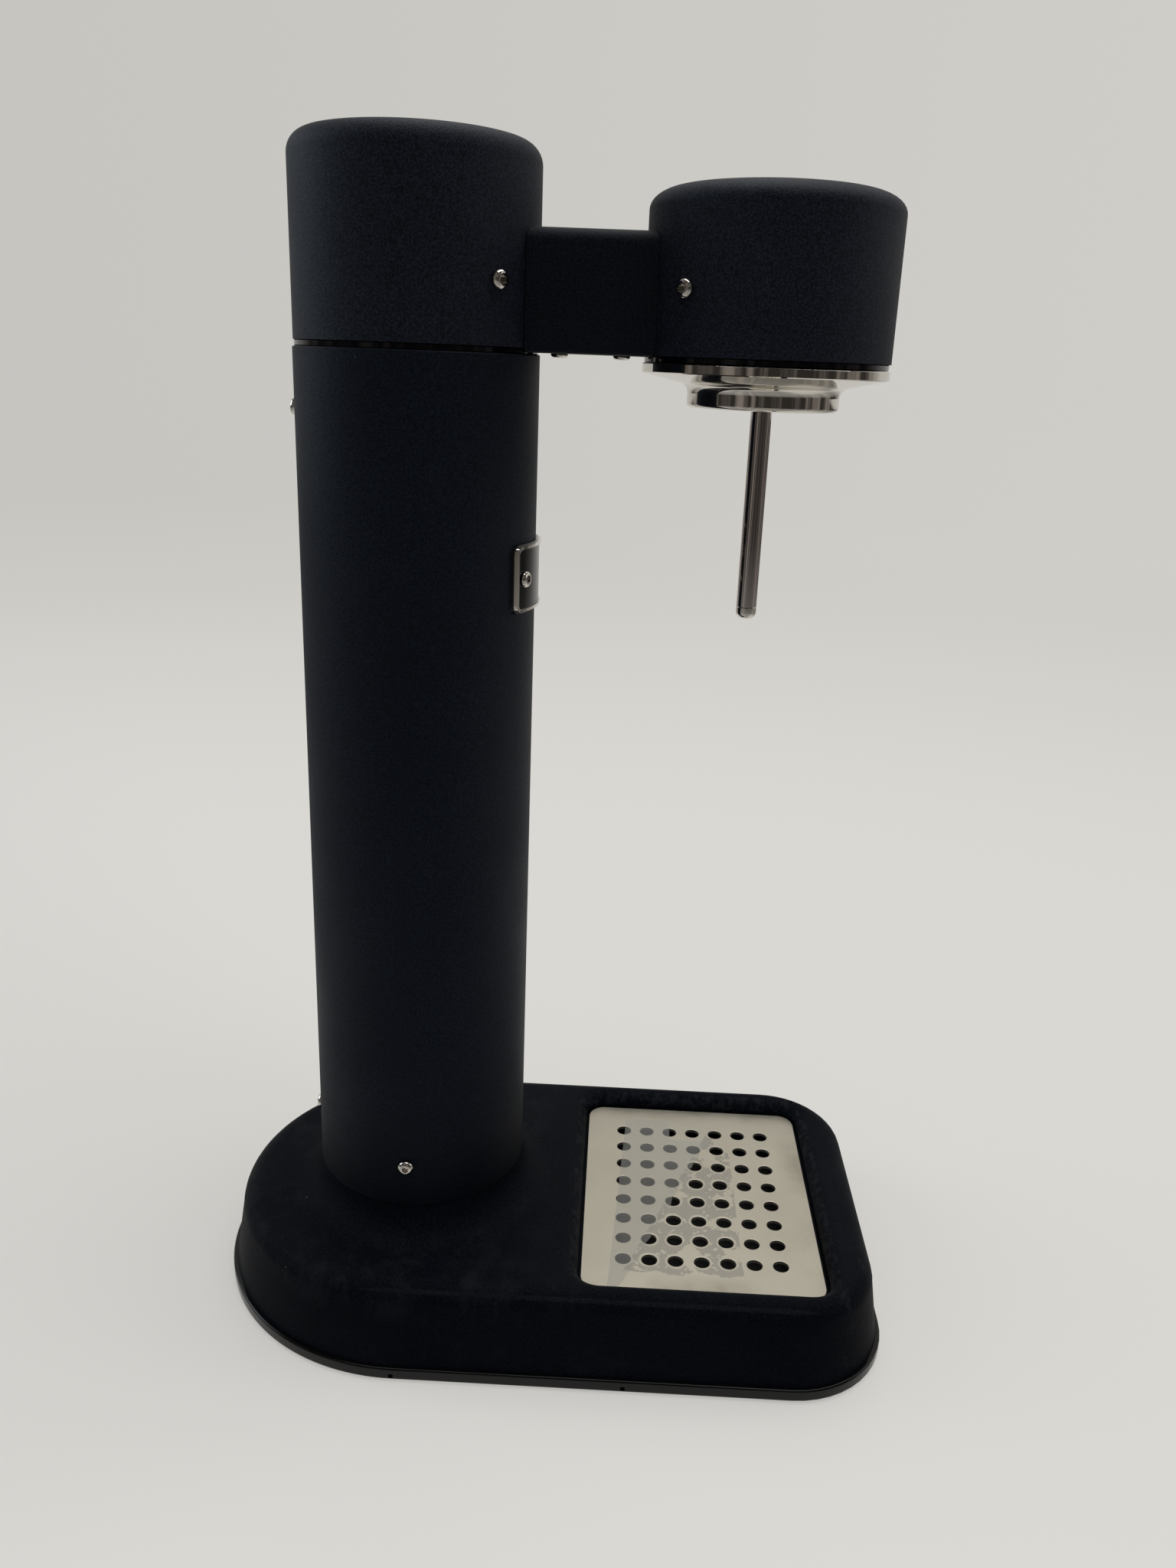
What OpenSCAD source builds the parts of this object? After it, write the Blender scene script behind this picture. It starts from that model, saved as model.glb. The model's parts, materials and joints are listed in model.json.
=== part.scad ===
// Counter-top sparkling water maker: a tower on a drip-tray base, an arm that carries the bottle
// head and its nozzle, and a side lever that opens the valve of the gas cylinder in the tower.
// Millimetres. +Z is up, the drip tray faces -Y and the lever is on +X. The origin is the centre of
// the footprint, on the table.

/* [Drip grille] */
// Width of the perforated plate
grille_w = 117; // [100:0.5:130]
// Depth of the perforated plate, front to back
grille_l = 91; // [80:0.5:105]
// Thickness of the plate
grille_t = 1.5; // [1:0.1:2]
// Radius of the plate's corners
grille_corner_r = 7; // [4:0.5:12]
// Diameter of one drain hole
hole_d = 5.9; // [4:0.1:7]
// Number of drain holes across
holes_x = 8; // [5:1:9]
// Number of drain holes front to back
holes_y = 7; // [4:1:8]
// Distance between drain holes across
hole_pitch_x = 11.8; // [9:0.1:13]
// Distance between drain holes front to back
hole_pitch_y = 9.95; // [8.5:0.05:11]

/* [Base] */
// Land between the grille and each side of the base
land_side = 18; // [16:0.5:26]
// Land between the grille and the front of the base
land_front = 24; // [18:0.5:32]
// Land between the grille and the flare of the tower
land_rear = 14.5; // [12:0.5:30]
// Radius of the two front corners
base_corner_r = 37.5; // [28:0.5:50]
// Height of the top face above the table
base_top = 36; // [33:0.5:44]
// How far the side walls lean in towards the top
base_draft = 3.5; // [1:0.5:5]
// Rounding of the top edge
base_edge_r = 8; // [4:0.5:10]
// Wall thickness of the casting
base_wall = 3; // [2:0.25:4]
// Rounding of the lip round the grille, also how deep the grille lies
lip_r = 6; // [4:0.5:7]
// Free gap round the grille
tray_gap = 1.2; // [0.6:0.1:2]
// Width of the ledge that carries the grille
ledge_w = 3; // [2:0.5:5]
// Thickness of the ledge that carries the grille
ledge_t = 2; // [1.5:0.1:3]
// Depth of the drip well under the grille
well_depth = 9; // [6:0.5:12]
// Wall thickness of the drip pan
pan_wall = 1.6; // [1:0.1:2.5]
// Radius of the flare at the tower's foot
flare_r = 12; // [6:0.5:16]
// Height of the tower's sleeve above the flare
sleeve_h = 30; // [26:0.5:45]

/* [Base plate] */
// Height of the plate's rim above the table
rim_h = 5.5; // [4.5:0.1:7]
// How far the rim stands out past the casting
rim_step = 1.7; // [0.5:0.1:3]
// Width of the rim's seat
rim_seat = 6; // [5:0.5:9]
// Thickness of the plate's floor
floor_t = 2.5; // [2:0.1:3]
// Diameter of a rubber foot
foot_d = 14; // [10:0.5:18]
// Thickness of a rubber foot
foot_t = 2; // [1.4:0.1:2.4]
// How far a foot stands out below the plate
foot_stand = 0.8; // [0.5:0.1:1.2]
// Distance from the rim to a foot's centre
foot_inset = 11.5; // [10:0.5:14]
// Distance from the rim to a plate screw
plate_screw_inset = 11.5; // [10.5:0.5:14]
// Side of the small notches in the rim
notch = 1.6; // [1:0.1:2.2]
// Distance between the two notches, the rear one beside the tower's axis
notch_gap = 83.5; // [60:0.5:100]

/* [Tower] */
// Diameter of the gas cylinder
cylinder_d = 60; // [58:0.5:66]
// Free room round the gas cylinder
cylinder_gap = 2.5; // [1.5:0.1:4]
// Wall of the cylinder guide
guide_wall = 2.5; // [1.5:0.1:3.5]
// Wall of the sleeve that joins the tower to the base
sleeve_wall = 2.6; // [2:0.1:4]
// Wall of the tower tube
tower_wall = 2; // [1.2:0.1:3]
// Height of the tower tube's top above the table
tower_top = 351.5; // [320:0.5:380]
// Height of the lower tower screws above the flare
low_screw_rise = 17; // [10:0.5:20]
// Depth of the upper tower screw below the tube's top
high_screw_drop = 19; // [16:0.5:24]
// Clearance between parts that slip together
slip = 0.2; // [0.1:0.05:0.3]

/* [Badge] */
// Angle that the badge wraps round the tower
badge_arc = 66; // [40:1:80]
// Height of the badge
badge_h = 22.8; // [16:0.2:30]
// Thickness of the badge's field
badge_t = 1.3; // [0.8:0.1:2]
// Width of the badge's raised border
badge_border = 1.8; // [1:0.1:3]
// Height of the border above the field
badge_lip = 0.5; // [0.2:0.1:1]
// Corner radius of the badge
badge_corner_r = 3; // [2:0.5:5]
// Depth of the badge's centre below the tube's top
badge_drop = 70.5; // [50:0.5:120]
// Angle of the badge screws from the front
badge_screw_angle = 24; // [12:0.5:30]

/* [Cap] */
// Height of the seam ring
seam_h = 2; // [1:0.1:3]
// How far the seam ring lies inside the tower's face
seam_inset = 0.6; // [0.3:0.1:1.5]
// Height of the cap
cap_h = 60.5; // [58:0.5:75]
// How far the cap lies inside the tower's face
cap_inset = 0.3; // [0:0.1:1]
// Wall of the cap
cap_wall = 2.5; // [1.5:0.1:3]
// Thickness of the cap's top
cap_top_t = 3; // [2:0.1:4]
// Rounding of the cap's top edge
cap_edge_r = 6.8; // [4:0.2:9]
// Height of the cap screws above the cap's lower edge
cap_screw_rise = 19; // [16:0.5:24]
// Angle of the cap screws from the front
cap_screw_angle = 43; // [40:0.5:48]

/* [Arm] */
// Width of the arm's cover
arm_w = 34; // [32:0.5:42]
// Height of the arm's cover
arm_h = 36.6; // [33:0.2:42]
// Height of the arm's underside above the tube's top
arm_rise = 0.7; // [0.4:0.1:1.5]
// Wall of the arm's cover
arm_wall = 2; // [1.5:0.1:2.4]
// Rounding of the arm's upper edges
arm_edge_r = 4.5; // [2.5:0.1:6]
// Distance between the two screws under the arm
arm_screw_gap = 20.3; // [14:0.1:22]
// Width of the channel inside the arm
beam_w = 25; // [24:0.5:28]
// Height of the channel's sides
beam_h = 17; // [14:0.5:20]
// Sheet thickness of the channel
beam_t = 2.5; // [2:0.1:3]

/* [Head] */
// Diameter of the head
head_d = 80; // [76:0.5:88]
// Height of the head
head_h = 50; // [46:0.5:60]
// Height of the head's lower edge above the tube's top
head_rise = 1; // [0.6:0.1:2]
// Wall of the head
head_wall = 2.5; // [1.5:0.1:3]
// Rounding of the head's top edge
head_edge_r = 6.5; // [4:0.2:9]
// How far the grille's centre lies behind the head's axis
tray_shift = 1.5; // [0:0.1:3]
// Height of the head screws above the head's lower edge
head_screw_rise = 19.3; // [14:0.1:22]
// Angle of the head screws from the head's rear
head_screw_angle = 45.5; // [43:0.5:50]
// Height of the ring under the head
ring_h = 2; // [1:0.1:3]
// How far the ring lies inside the head's face
ring_inset = 0.6; // [0.3:0.1:1.5]
// Thickness of the manifold plate in the head
manifold_t = 4.5; // [4:0.1:6]

/* [Bottle collar and nozzle] */
// Height of the collar below the ring
collar_h = 13.3; // [12.5:0.1:16]
// Height of the collar's bright band
band_h = 3; // [2:0.1:4]
// Outer diameter of the collar's neck
neck_d = 49.6; // [47.5:0.1:52]
// Diameter of the collar's bore, which takes the bottle's mouth
mouth_d = 41; // [39:0.1:42.5]
// Reach of the bayonet lugs into the bore
lug_reach = 1.9; // [1:0.1:2.5]
// Height of a bayonet lug
lug_h = 3; // [2:0.1:3.5]
// Thickness of the bottle seal
seal_t = 3.5; // [2.5:0.1:4.5]
// Width of the bottle seal's face
seal_w = 5; // [3:0.1:6]
// Diameter of the nozzle
nozzle_d = 7; // [6:0.1:8]
// Bore of the nozzle
nozzle_bore = 4; // [3:0.1:4.4]
// Length of the nozzle below the collar
nozzle_drop = 69.2; // [50:0.2:90]
// Length of the nozzle's bright tip
tip_l = 4; // [3:0.1:6]

/* [Lever and valve] */
// Length of the lever from its pivot to its tip
lever_l = 88; // [70:1:96]
// Diameter of the lever's grip
lever_d = 9; // [7:0.1:10]
// Diameter of the lever's hub
lever_hub_d = 22; // [18:0.5:24]
// Width of the lever's hub along its shaft
lever_hub_w = 12; // [11:0.1:16]
// Angle that the lever swings down
lever_swing = 30; // [24:1:34]
// Upward tilt of the lever at rest
lever_tilt = 2; // [0:0.5:3]
// Diameter of the lever's shaft
shaft_d = 8; // [7:0.1:9]
// Distance from the shaft to the cam finger's nose
cam_r = 11; // [10.5:0.1:11.6]
// Radius of the cam finger's nose
nose_r = 2.5; // [2:0.1:2.8]
// Diameter of the gas cylinder's threaded socket
socket_d = 21; // [20:0.1:22]
// Depth of the socket
socket_l = 12; // [10:0.5:14]
// Outer diameter of the valve block's lower body
block_d = 34; // [32:0.5:38]
// Width of the valve block's flange round its lower body
block_rim = 5; // [4.5:0.1:6]
// Diameter of the plunger's stem
stem_d = 4; // [3:0.1:4.6]
// Radial clearance of a part that turns or slides in its bore
running = 0.04; // [0.02:0.01:0.08]
// Gap between the cam's nose and the plunger at rest
nose_gap = 0.3; // [0.1:0.05:0.5]
// Outer diameter of the gas hose
hose_d = 7.6; // [6.4:0.1:8]
// Bore of the gas hose
hose_bore = 4.6; // [3.8:0.1:5]

/* [Relief valve] */
// Outer diameter of the relief valve's body
relief_d = 13; // [12:0.1:14]
// Diameter of the poppet
poppet_d = 8; // [7:0.1:9]
// Height of the relief valve's body
relief_h = 15; // [13:0.5:18]
// Lift of the poppet
relief_lift = 1.5; // [0.8:0.1:2]

/* [Hidden] */
$fn = 96;
over = 0.5;
arc_steps = 8;

// Radii of the tower, from the gas cylinder outwards
bay_r = cylinder_d / 2 + cylinder_gap;
guide_ro = bay_r + guide_wall;
sleeve_ri = guide_ro + slip;
sleeve_ro = sleeve_ri + sleeve_wall;
tower_ri = sleeve_ro + slip;
tower_r = tower_ri + tower_wall;
cap_r = tower_r - cap_inset;
cap_ri = cap_r - cap_wall;
head_r = head_d / 2;
head_ri = head_r - head_wall;

// Plan of the base, with the centre of the footprint at the origin
grille_reach = tower_r + flare_r + land_rear + grille_l / 2;
head_reach = grille_reach + tray_shift;
base_w = grille_w + 2 * land_side;
rear_r = base_w / 2;
base_front = grille_reach + grille_l / 2 + land_front;
tower_y = (base_front - rear_r) / 2;
head_y = tower_y - head_reach;
grille_y = tower_y - grille_reach;
front_y = tower_y - base_front;
rear_y = tower_y + rear_r;

// Levels of the base
grille_top = base_top - lip_r;
ledge_z = grille_top - grille_t;
well_z = ledge_z - well_depth;
tower_z = base_top + flare_r;
sleeve_top = tower_z + sleeve_h;
plate_floor_z = foot_stand + floor_t;
low_screw_z = tower_z + low_screw_rise;
high_screw_z = tower_top - high_screw_drop;
badge_z = tower_top - badge_drop;
rear_foot_angle = 38;

// Levels of the cap, arm, head and collar
cap_z = tower_top + seam_h;
cap_screw_z = cap_z + cap_screw_rise;
arm_z = tower_top + arm_rise;
head_z = tower_top + head_rise;
head_screw_z = head_z + head_screw_rise;
manifold_z = head_z + manifold_t;
collar_z = head_z - ring_h;
collar_low = collar_z - collar_h;
tip_z = collar_low - nozzle_drop;
collar_fillet = 3.2;
collar_slope = 2.7;
neck_edge_r = 1.4;
lug_angle = 40;
hub_r = 7;
hub_h = 7;
nut_h = 4;
nozzle_seat = 2;
tip_round_r = 2.2;
tip_plug_l = 4;
orifice_r = 0.6;

// Valve stack, from the socket's mouth upwards
block_sink = 5.5;
frame_plate_t = 7.5;
skirt_below = 10;
block_flange_t = 4;
socket_seal_t = 2;
chamber_h = 7;
guide_h = 2;
gland_h = 2.5;
port_drop = 2;
block_z = tower_top - block_sink;
socket_top = block_z + socket_l;
chamber_z = socket_top + socket_seal_t;
guide_z = chamber_z + chamber_h;
gland_z = guide_z + guide_h;
block_top = gland_z + gland_h;
hose_z = guide_z - port_drop;
block_flange_d = block_d + 2 * block_rim;
block_neck_r = 13;
chamber_r = 4;
gland_r = chamber_r + 0.5;
port_r = 2;
seal_pocket_r = socket_d / 2 - 2.5;
seal_fit = 0.1;

// Cam and plunger: the nose swings as far above the shaft's level as below it
half_swing = lever_swing / 2;
plunger_travel = 2 * cam_r * sin(half_swing);
spring_wire = 0.7;
spring_turns = 4;
spring_solid = (spring_turns + 1) * spring_wire;
plunger_head_t = 1.8;
plunger_head_r = 3.5;
plunger_head_z = block_top + plunger_travel + spring_solid;
plunger_top = plunger_head_z + plunger_head_t;
stem_tip_clear = 1;
stem_tip_z = chamber_z + stem_tip_clear;
shaft_z = plunger_top + nose_gap + nose_r - cam_r * sin(half_swing);
shaft_y = tower_y + cam_r * (1 + cos(half_swing)) / 2;
shaft_r = shaft_d / 2;
finger_hub_r = shaft_r + 2.5;
finger_w = 8;
finger_under = 0.4 * nose_r;
cam_pin_r = 1;
cam_pin_end = 0.5;

// Cheeks of the valve frame that carry the shaft
cheek_t = 4.5;
cheek_x = block_flange_d / 2 + 1;
cheek_front = 24;
cheek_rear = 22;
bush_r = shaft_r + 1.5;
bush_flange_r = shaft_r + 3;
bush_flange_t = 1;
cheek_top = shaft_z + bush_flange_r + 2;
frame_r = min(cap_ri, sleeve_ri) - slip;
bush_proud = 3.5;
clip_t = 1;
clip_r = shaft_r + 1.6;
clip_groove = 0.8;
clip_end = 1;
shaft_x0 = -(cheek_x + cheek_t + clip_t + clip_end + 1);
lever_gap = 0.4;
lever_x = cap_r + lever_gap;
lever_face = 5;
lever_screw_sink = 2.2;
shaft_x1 = lever_x + lever_hub_w - lever_face;
lever_bar_x = lever_x + lever_hub_w / 2;
lever_waist = 1.2;
lever_hub_edge = 3;

// Cover and beam of the arm
arm_low_r = 1.4;
arm_inner_r = 0.6;
beam_z = manifold_z;
beam_side = beam_w / 2;
beam_rear_y = tower_y - cheek_front;
beam_lap = 25;
beam_front_y = head_y + head_r - beam_lap;
beam_screw_end = [5, 9];
window_slack = 0.6;
window_depth = 20;
barb_r = hose_bore / 2 - 0.1;
barb_l = 12;
fitting_r = 4;
fitting_l = 7.5;
fitting_bore_r = 1.4;
elbow_r = 5;
hose_end_gap = 0.5;
hose_rear_y = tower_y - block_neck_r - fitting_l - hose_end_gap;
hose_front_y = head_y + elbow_r + fitting_l + hose_end_gap;
ferrule_l = 6;
ferrule_t = 0.9;
ferrule_end = 3;

// Relief valve in the head, beside the inlet
relief_x = -12;
relief_y = head_y - 6;
relief_seat_t = 2;
relief_top = manifold_z + relief_h;
poppet_gap = 0.1;
poppet_z = manifold_z + relief_seat_t + poppet_gap;
poppet_stem_r = 1.2;
poppet_stem_drop = 0.5;
relief_cap_plug = 3;
relief_cap_h = 3;
vent_r = 1.5;
relief_wire = 0.6;
relief_spring_h = (spring_turns + 1) * relief_wire + relief_lift + 1.9;
poppet_h = relief_h - relief_cap_plug - relief_seat_t - poppet_gap - relief_spring_h;

// Fasteners: [head radius, head height, shank radius]
tower_screw = [3, 2.3, 1.75];
badge_screw = [2.3, 1.4, 1.2];
arm_screw = [2.85, 1, 1.45];
inner_screw = [2.6, 1.8, 1.4];
plate_screw = [3.2, 1.5, 1.5];
screw_bore_gap = 0.1;
boss_r = 4;
screw_grip = 6;
bore_depth = 8;
beam_screw_x = beam_side - beam_t - inner_screw[0] - 0.4;
post_l = 9;
post_h = head_screw_z + boss_r - head_z;
cap_boss_l = 9;
cap_boss_end = sqrt(pow(cap_ri - slip, 2) - pow(boss_r, 2));
collar_screw_pcr = (mouth_d + neck_d) / 4 + 3.85;
collar_screw_depth = 4.6;
collar_screw_angles = [30, 110, 250, 330];
block_screw_pcr = (block_d + block_rim) / 2;
block_screw_angles = [0, 120, 240];

black = "#17181c";
gloss_black = "#0b0b0d";
steel = "#b9bcc0";
brass = "#b08d3c";
plastic = "#33363b";
rubber = "#1c1c1c";

// Points of an arc about a centre, from one angle to another
function arc(cx, cz, r, from, to) =
    [for (i = [0 : arc_steps]) let (a = from + (to - from) * i / arc_steps)
        [cx + r * cos(a), cz + r * sin(a)]];

// Mirror image of a profile in the other half plane, in reverse order
function other_side(points) =
    [for (i = [len(points) - 1 : -1 : 0]) [-points[i][0], points[i][1]]];

// Block with a rounded-rectangle plan, centred across, whose sides follow [inset, height] points
module formed_block(w, y0, y1, r0, r1, sides) {
    half = [for (p = sides) [w / 2 - p[0], p[1]]];
    translate([0, y1 - r1, 0]) rotate([90, 0, 0])
        linear_extrude(y1 - r1 - y0 - r0) polygon(concat(half, other_side(half)));
    end_strip(w - 2 * r0, y0, 1, r0, sides);
    if (w - 2 * r1 > over) end_strip(w - 2 * r1, y1, -1, r1, sides);
    for (s = [0, 1]) {
        way = 2 * s - 1;
        translate([way * (w / 2 - r0), y0 + r0, 0]) rotate([0, 0, 180 + 90 * s]) corner_wedge(r0, sides);
        translate([way * (w / 2 - r1), y1 - r1, 0]) rotate([0, 0, 90 - 90 * s]) corner_wedge(r1, sides);
    }
}

// Quarter turn at one corner of a formed block
module corner_wedge(r, sides) {
    low = sides[0][1];
    high = sides[len(sides) - 1][1];
    rotate_extrude(angle = 90) polygon(concat([[0, low]], [for (p = sides) [r - p[0], p[1]]], [[0, high]]));
}

// Straight strip between two corners of a formed block
module end_strip(length, y, inward, depth, sides) {
    low = sides[0][1];
    high = sides[len(sides) - 1][1];
    outline = concat([[y + inward * depth, low]], [for (p = sides) [y + inward * p[0], p[1]]],
                     [[y + inward * depth, high]]);
    translate([-length / 2, 0, 0]) rotate([90, 0, 90]) linear_extrude(length) polygon(outline);
}

// Tube between two heights
module tube(ro, ri, z0, z1) {
    translate([0, 0, z0]) difference() {
        cylinder(r = ro, h = z1 - z0);
        translate([0, 0, -over]) cylinder(r = ri, h = z1 - z0 + 2 * over);
    }
}

// Rod along X between two places
module rod_x(r, x0, x1) {
    translate([x0, 0, 0]) rotate([0, 90, 0]) cylinder(r = r, h = x1 - x0);
}

// Rod along Y between two places
module rod_y(r, y0, y1) {
    translate([0, y1, 0]) rotate([90, 0, 0]) cylinder(r = r, h = y1 - y0);
}

// Closed-top shell of revolution with a rounded top edge, open below
module domed_shell(r, h, wall, top_t, edge_r) {
    inner_edge = max(edge_r - wall, 1);
    difference() {
        rotate_extrude() polygon(concat(
            [[0, 0], [r, 0]], arc(r - edge_r, h - edge_r, edge_r, 0, 90), [[0, h]]));
        translate([0, 0, -over]) rotate_extrude() polygon(concat(
            [[0, 0], [r - wall, 0]],
            arc(r - wall - inner_edge, h - top_t - inner_edge + over, inner_edge, 0, 90),
            [[0, h - top_t + over]]));
    }
}

// Button-head screw with a hex socket: its seat is at z = 0 and its shank points down
module button_screw(size, length) {
    head_r = size[0];
    head_h = size[1];
    rim = 0.25 * head_h;
    flat = 0.5 * head_r;
    dome = [for (i = [0 : arc_steps]) let (a = 90 * i / arc_steps)
        [flat + (head_r - flat) * cos(a), rim + (head_h - rim) * sin(a)]];
    difference() {
        rotate_extrude() polygon(concat([[0, 0], [head_r, 0]], dome, [[0, head_h]]));
        translate([0, 0, 0.4 * head_h]) cylinder(r = 0.45 * head_r, h = head_h, $fn = 6);
    }
    translate([0, 0, -length]) cylinder(r = size[2], h = length + over / 5);
}

// Places children on a round wall, outward along their +Z, at an angle counted from the front
module on_wall(y, r, z, angle) {
    translate([0, y, z]) rotate([0, 0, angle]) translate([0, -r, 0]) rotate([90, 0, 0]) children();
}

// Places children at the rubber feet, the plate screws and the tower screws
module at_feet() {
    side_x = rear_r - foot_inset;
    front_x = rear_r - base_corner_r;
    for (s = [-1, 1]) {
        translate([s * front_x, front_y + foot_inset, 0]) children();
        translate([s * side_x, head_y + base_corner_r, 0]) children();
        translate([s * side_x * sin(rear_foot_angle), tower_y + side_x * cos(rear_foot_angle), 0]) children();
    }
}
module at_plate_screws() {
    corner = base_corner_r - plate_screw_inset;
    side_x = rear_r - plate_screw_inset;
    for (s = [-1, 1]) {
        translate([s * (rear_r - base_corner_r), front_y + base_corner_r, 0]) rotate([0, 0, s * 45])
            translate([0, -corner, 0]) children();
        translate([s * side_x, tower_y - flare_r, 0]) children();
    }
    translate([0, tower_y + side_x, 0]) children();
}
module at_low_tower_screws() for (a = [-90, 90, 180]) on_wall(tower_y, tower_r, low_screw_z, a) children();
module at_high_tower_screw() on_wall(tower_y, tower_r, high_screw_z, 180) children();
module at_cap_screws() for (s = [-1, 1]) on_wall(tower_y, cap_r, cap_screw_z, s * cap_screw_angle) children();
module at_head_screws() for (s = [-1, 1])
    on_wall(head_y, head_r, head_screw_z, 180 + s * head_screw_angle) children();

// Clearance bore for a screw, from above its seat down past a depth
module screw_bore(size, depth) translate([0, 0, -depth])
    cylinder(r = size[2] + screw_bore_gap, h = depth + over);

// Unbroken helical wire with triangular faces, from one height to another
module helix(r, wire, turns, z0, z1) {
    rings = turns * 8;
    sides = 6;
    rise = z1 - z0 - wire;
    centres = [for (i = [0 : rings]) [r * cos(45 * i), r * sin(45 * i), rise * i / rings]];
    gaps = [for (i = [0 : rings - 5], j = [i + 5 : rings]) norm(centres[j] - centres[i]) - wire];
    echo(spring_gap = min(gaps));
    points = [for (i = [0 : rings], k = [0 : sides - 1])
        let (a = 45 * i, b = 360 * k / sides, q = r + wire / 2 * cos(b))
        [q * cos(a), q * sin(a), z0 + wire / 2 + rise * i / rings + wire / 2 * sin(b)]];
    last = rings * sides;
    walls = [for (i = [0 : rings - 1], k = [0 : sides - 1])
        let (a = i * sides + k, b = i * sides + (k + 1) % sides)
        each [[a, a + sides, b], [b, a + sides, b + sides]]];
    caps = [for (k = [1 : sides - 2]) each [[0, k, k + 1], [last, last + k + 1, last + k]]];
    polyhedron(points, concat(walls, caps));
}

// Base

function base_sides(extra, low, top) = concat(
    [[rim_step + extra, low]],
    arc(rim_step + extra + base_draft + base_edge_r, top - base_edge_r, base_edge_r, 180, 90),
    [[rim_step + extra + base_draft + base_edge_r + over, top]]);

module base_body(extra, low, top) {
    formed_block(base_w, front_y, rear_y, base_corner_r, rear_r, base_sides(extra, low, top));
}

// Opening of the drip recess, with its rounded lip, down to the grille's ledge
module recess() {
    flank = tray_gap + lip_r;
    formed_block(grille_w + 2 * flank, grille_y - grille_l / 2 - flank, grille_y + grille_l / 2 + flank,
                 grille_corner_r + flank, grille_corner_r + flank,
                 concat([[lip_r, ledge_z]], arc(0, base_top - lip_r, lip_r, 0, 90), [[0, base_top + over]]));
}

// Upright block with the grille's outline, drawn in or out by a margin
module grille_block(margin, z0, z1) {
    formed_block(grille_w + 2 * margin, grille_y - grille_l / 2 - margin, grille_y + grille_l / 2 + margin,
                 grille_corner_r + margin, grille_corner_r + margin, [[0, z0], [0, z1]]);
}

// Flare that the tower tube stands on
module tower_foot() {
    translate([0, tower_y, 0]) rotate_extrude() polygon(concat(
        [[tower_ri, base_top - base_wall / 2], [tower_r + flare_r, base_top - base_wall / 2]],
        arc(tower_r + flare_r, tower_z, flare_r, 270, 180),
        [[tower_ri, tower_z]]));
}

module base_shell() color(black) difference() {
    union() {
        difference() {
            base_body(0, rim_h, base_top);
            base_body(base_wall, rim_h - over, base_top - base_wall);
        }
        grille_block(tray_gap + base_wall, ledge_z - ledge_t, base_top - base_wall / 2);
        tower_foot();
        at_plate_screws() translate([0, 0, rim_h])
            cylinder(r = boss_r, h = base_top - base_wall - rim_h + over);
    }
    recess();
    grille_block(-ledge_w, ledge_z - ledge_t - over, ledge_z + over);
    translate([0, tower_y, rim_h]) cylinder(r = tower_ri, h = tower_z);
    at_plate_screws() translate([0, 0, rim_h]) rotate([180, 0, 0]) screw_bore(plate_screw, bore_depth);
}

module base_plate() color(gloss_black) difference() {
    formed_block(base_w, front_y, rear_y, base_corner_r, rear_r, [[0, foot_stand], [0, rim_h]]);
    formed_block(base_w, front_y, rear_y, base_corner_r, rear_r,
                 [[rim_seat, plate_floor_z], [rim_seat, rim_h + over]]);
    translate([0, tower_y, 0]) cylinder(r = bay_r + slip, h = rim_h);
    at_feet() cylinder(r = foot_d / 2 + slip, h = foot_t);
    at_plate_screws() {
        cylinder(r = plate_screw[2] + screw_bore_gap, h = rim_h);
        cylinder(r = plate_screw[0] + slip, h = foot_stand + plate_screw[1]);
    }
    for (y = [tower_y, tower_y - notch_gap]) translate([-base_w / 2, y, foot_stand + notch])
        cube(notch, center = true);
}

module base_plate_screws() color(steel)
    at_plate_screws() translate([0, 0, foot_stand + plate_screw[1]]) rotate([180, 0, 0])
        button_screw(plate_screw, rim_h + screw_grip - foot_stand - plate_screw[1]);

module rubber_feet() color(rubber) at_feet() cylinder(r = foot_d / 2, h = foot_t);

module cylinder_guide() color(plastic)
    translate([0, tower_y, 0]) tube(guide_ro, bay_r, plate_floor_z, base_top);

// Pan under the grille, whose flange is fixed to the underside of the ledge
module drip_pan() color(plastic) difference() {
    union() {
        grille_block(pan_wall - ledge_w, well_z - pan_wall, ledge_z - ledge_t);
        grille_block(tray_gap, ledge_z - ledge_t - pan_wall, ledge_z - ledge_t);
    }
    grille_block(-ledge_w, well_z, ledge_z);
}

module drip_grille() color(steel) difference() {
    grille_block(0, ledge_z, grille_top);
    for (i = [0 : holes_x - 1], j = [0 : holes_y - 1]) {
        x = (i - (holes_x - 1) / 2) * hole_pitch_x;
        y = grille_y + (j - (holes_y - 1) / 2) * hole_pitch_y;
        translate([x, y, ledge_z - over]) cylinder(d = hole_d, h = grille_t + 2 * over, $fn = 32);
    }
}

// Tower

// Sleeve that stands on the base plate, inside the casting's flare and the tower tube
module tower_sleeve() color(steel) difference() {
    translate([0, tower_y, 0]) tube(sleeve_ro, sleeve_ri, plate_floor_z, sleeve_top);
    at_low_tower_screws() screw_bore(tower_screw, tower_wall + slip + sleeve_wall + over);
}

module tower_tube() color(black) difference() {
    translate([0, tower_y, 0]) tube(tower_r, tower_ri, tower_z, tower_top);
    at_low_tower_screws() screw_bore(tower_screw, tower_wall + over);
    at_high_tower_screw() screw_bore(tower_screw, tower_wall + over);
    at_badge_screws() screw_bore(badge_screw, badge_t + tower_wall + over);
}

module tower_screws() color(steel) {
    at_low_tower_screws() button_screw(tower_screw, tower_wall + slip + sleeve_wall);
    at_high_tower_screw() button_screw(tower_screw, tower_wall + slip + sleeve_wall);
}

module at_badge_screws() for (s = [-1, 1])
    on_wall(tower_y, tower_r + badge_t, badge_z, s * badge_screw_angle) children();

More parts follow.
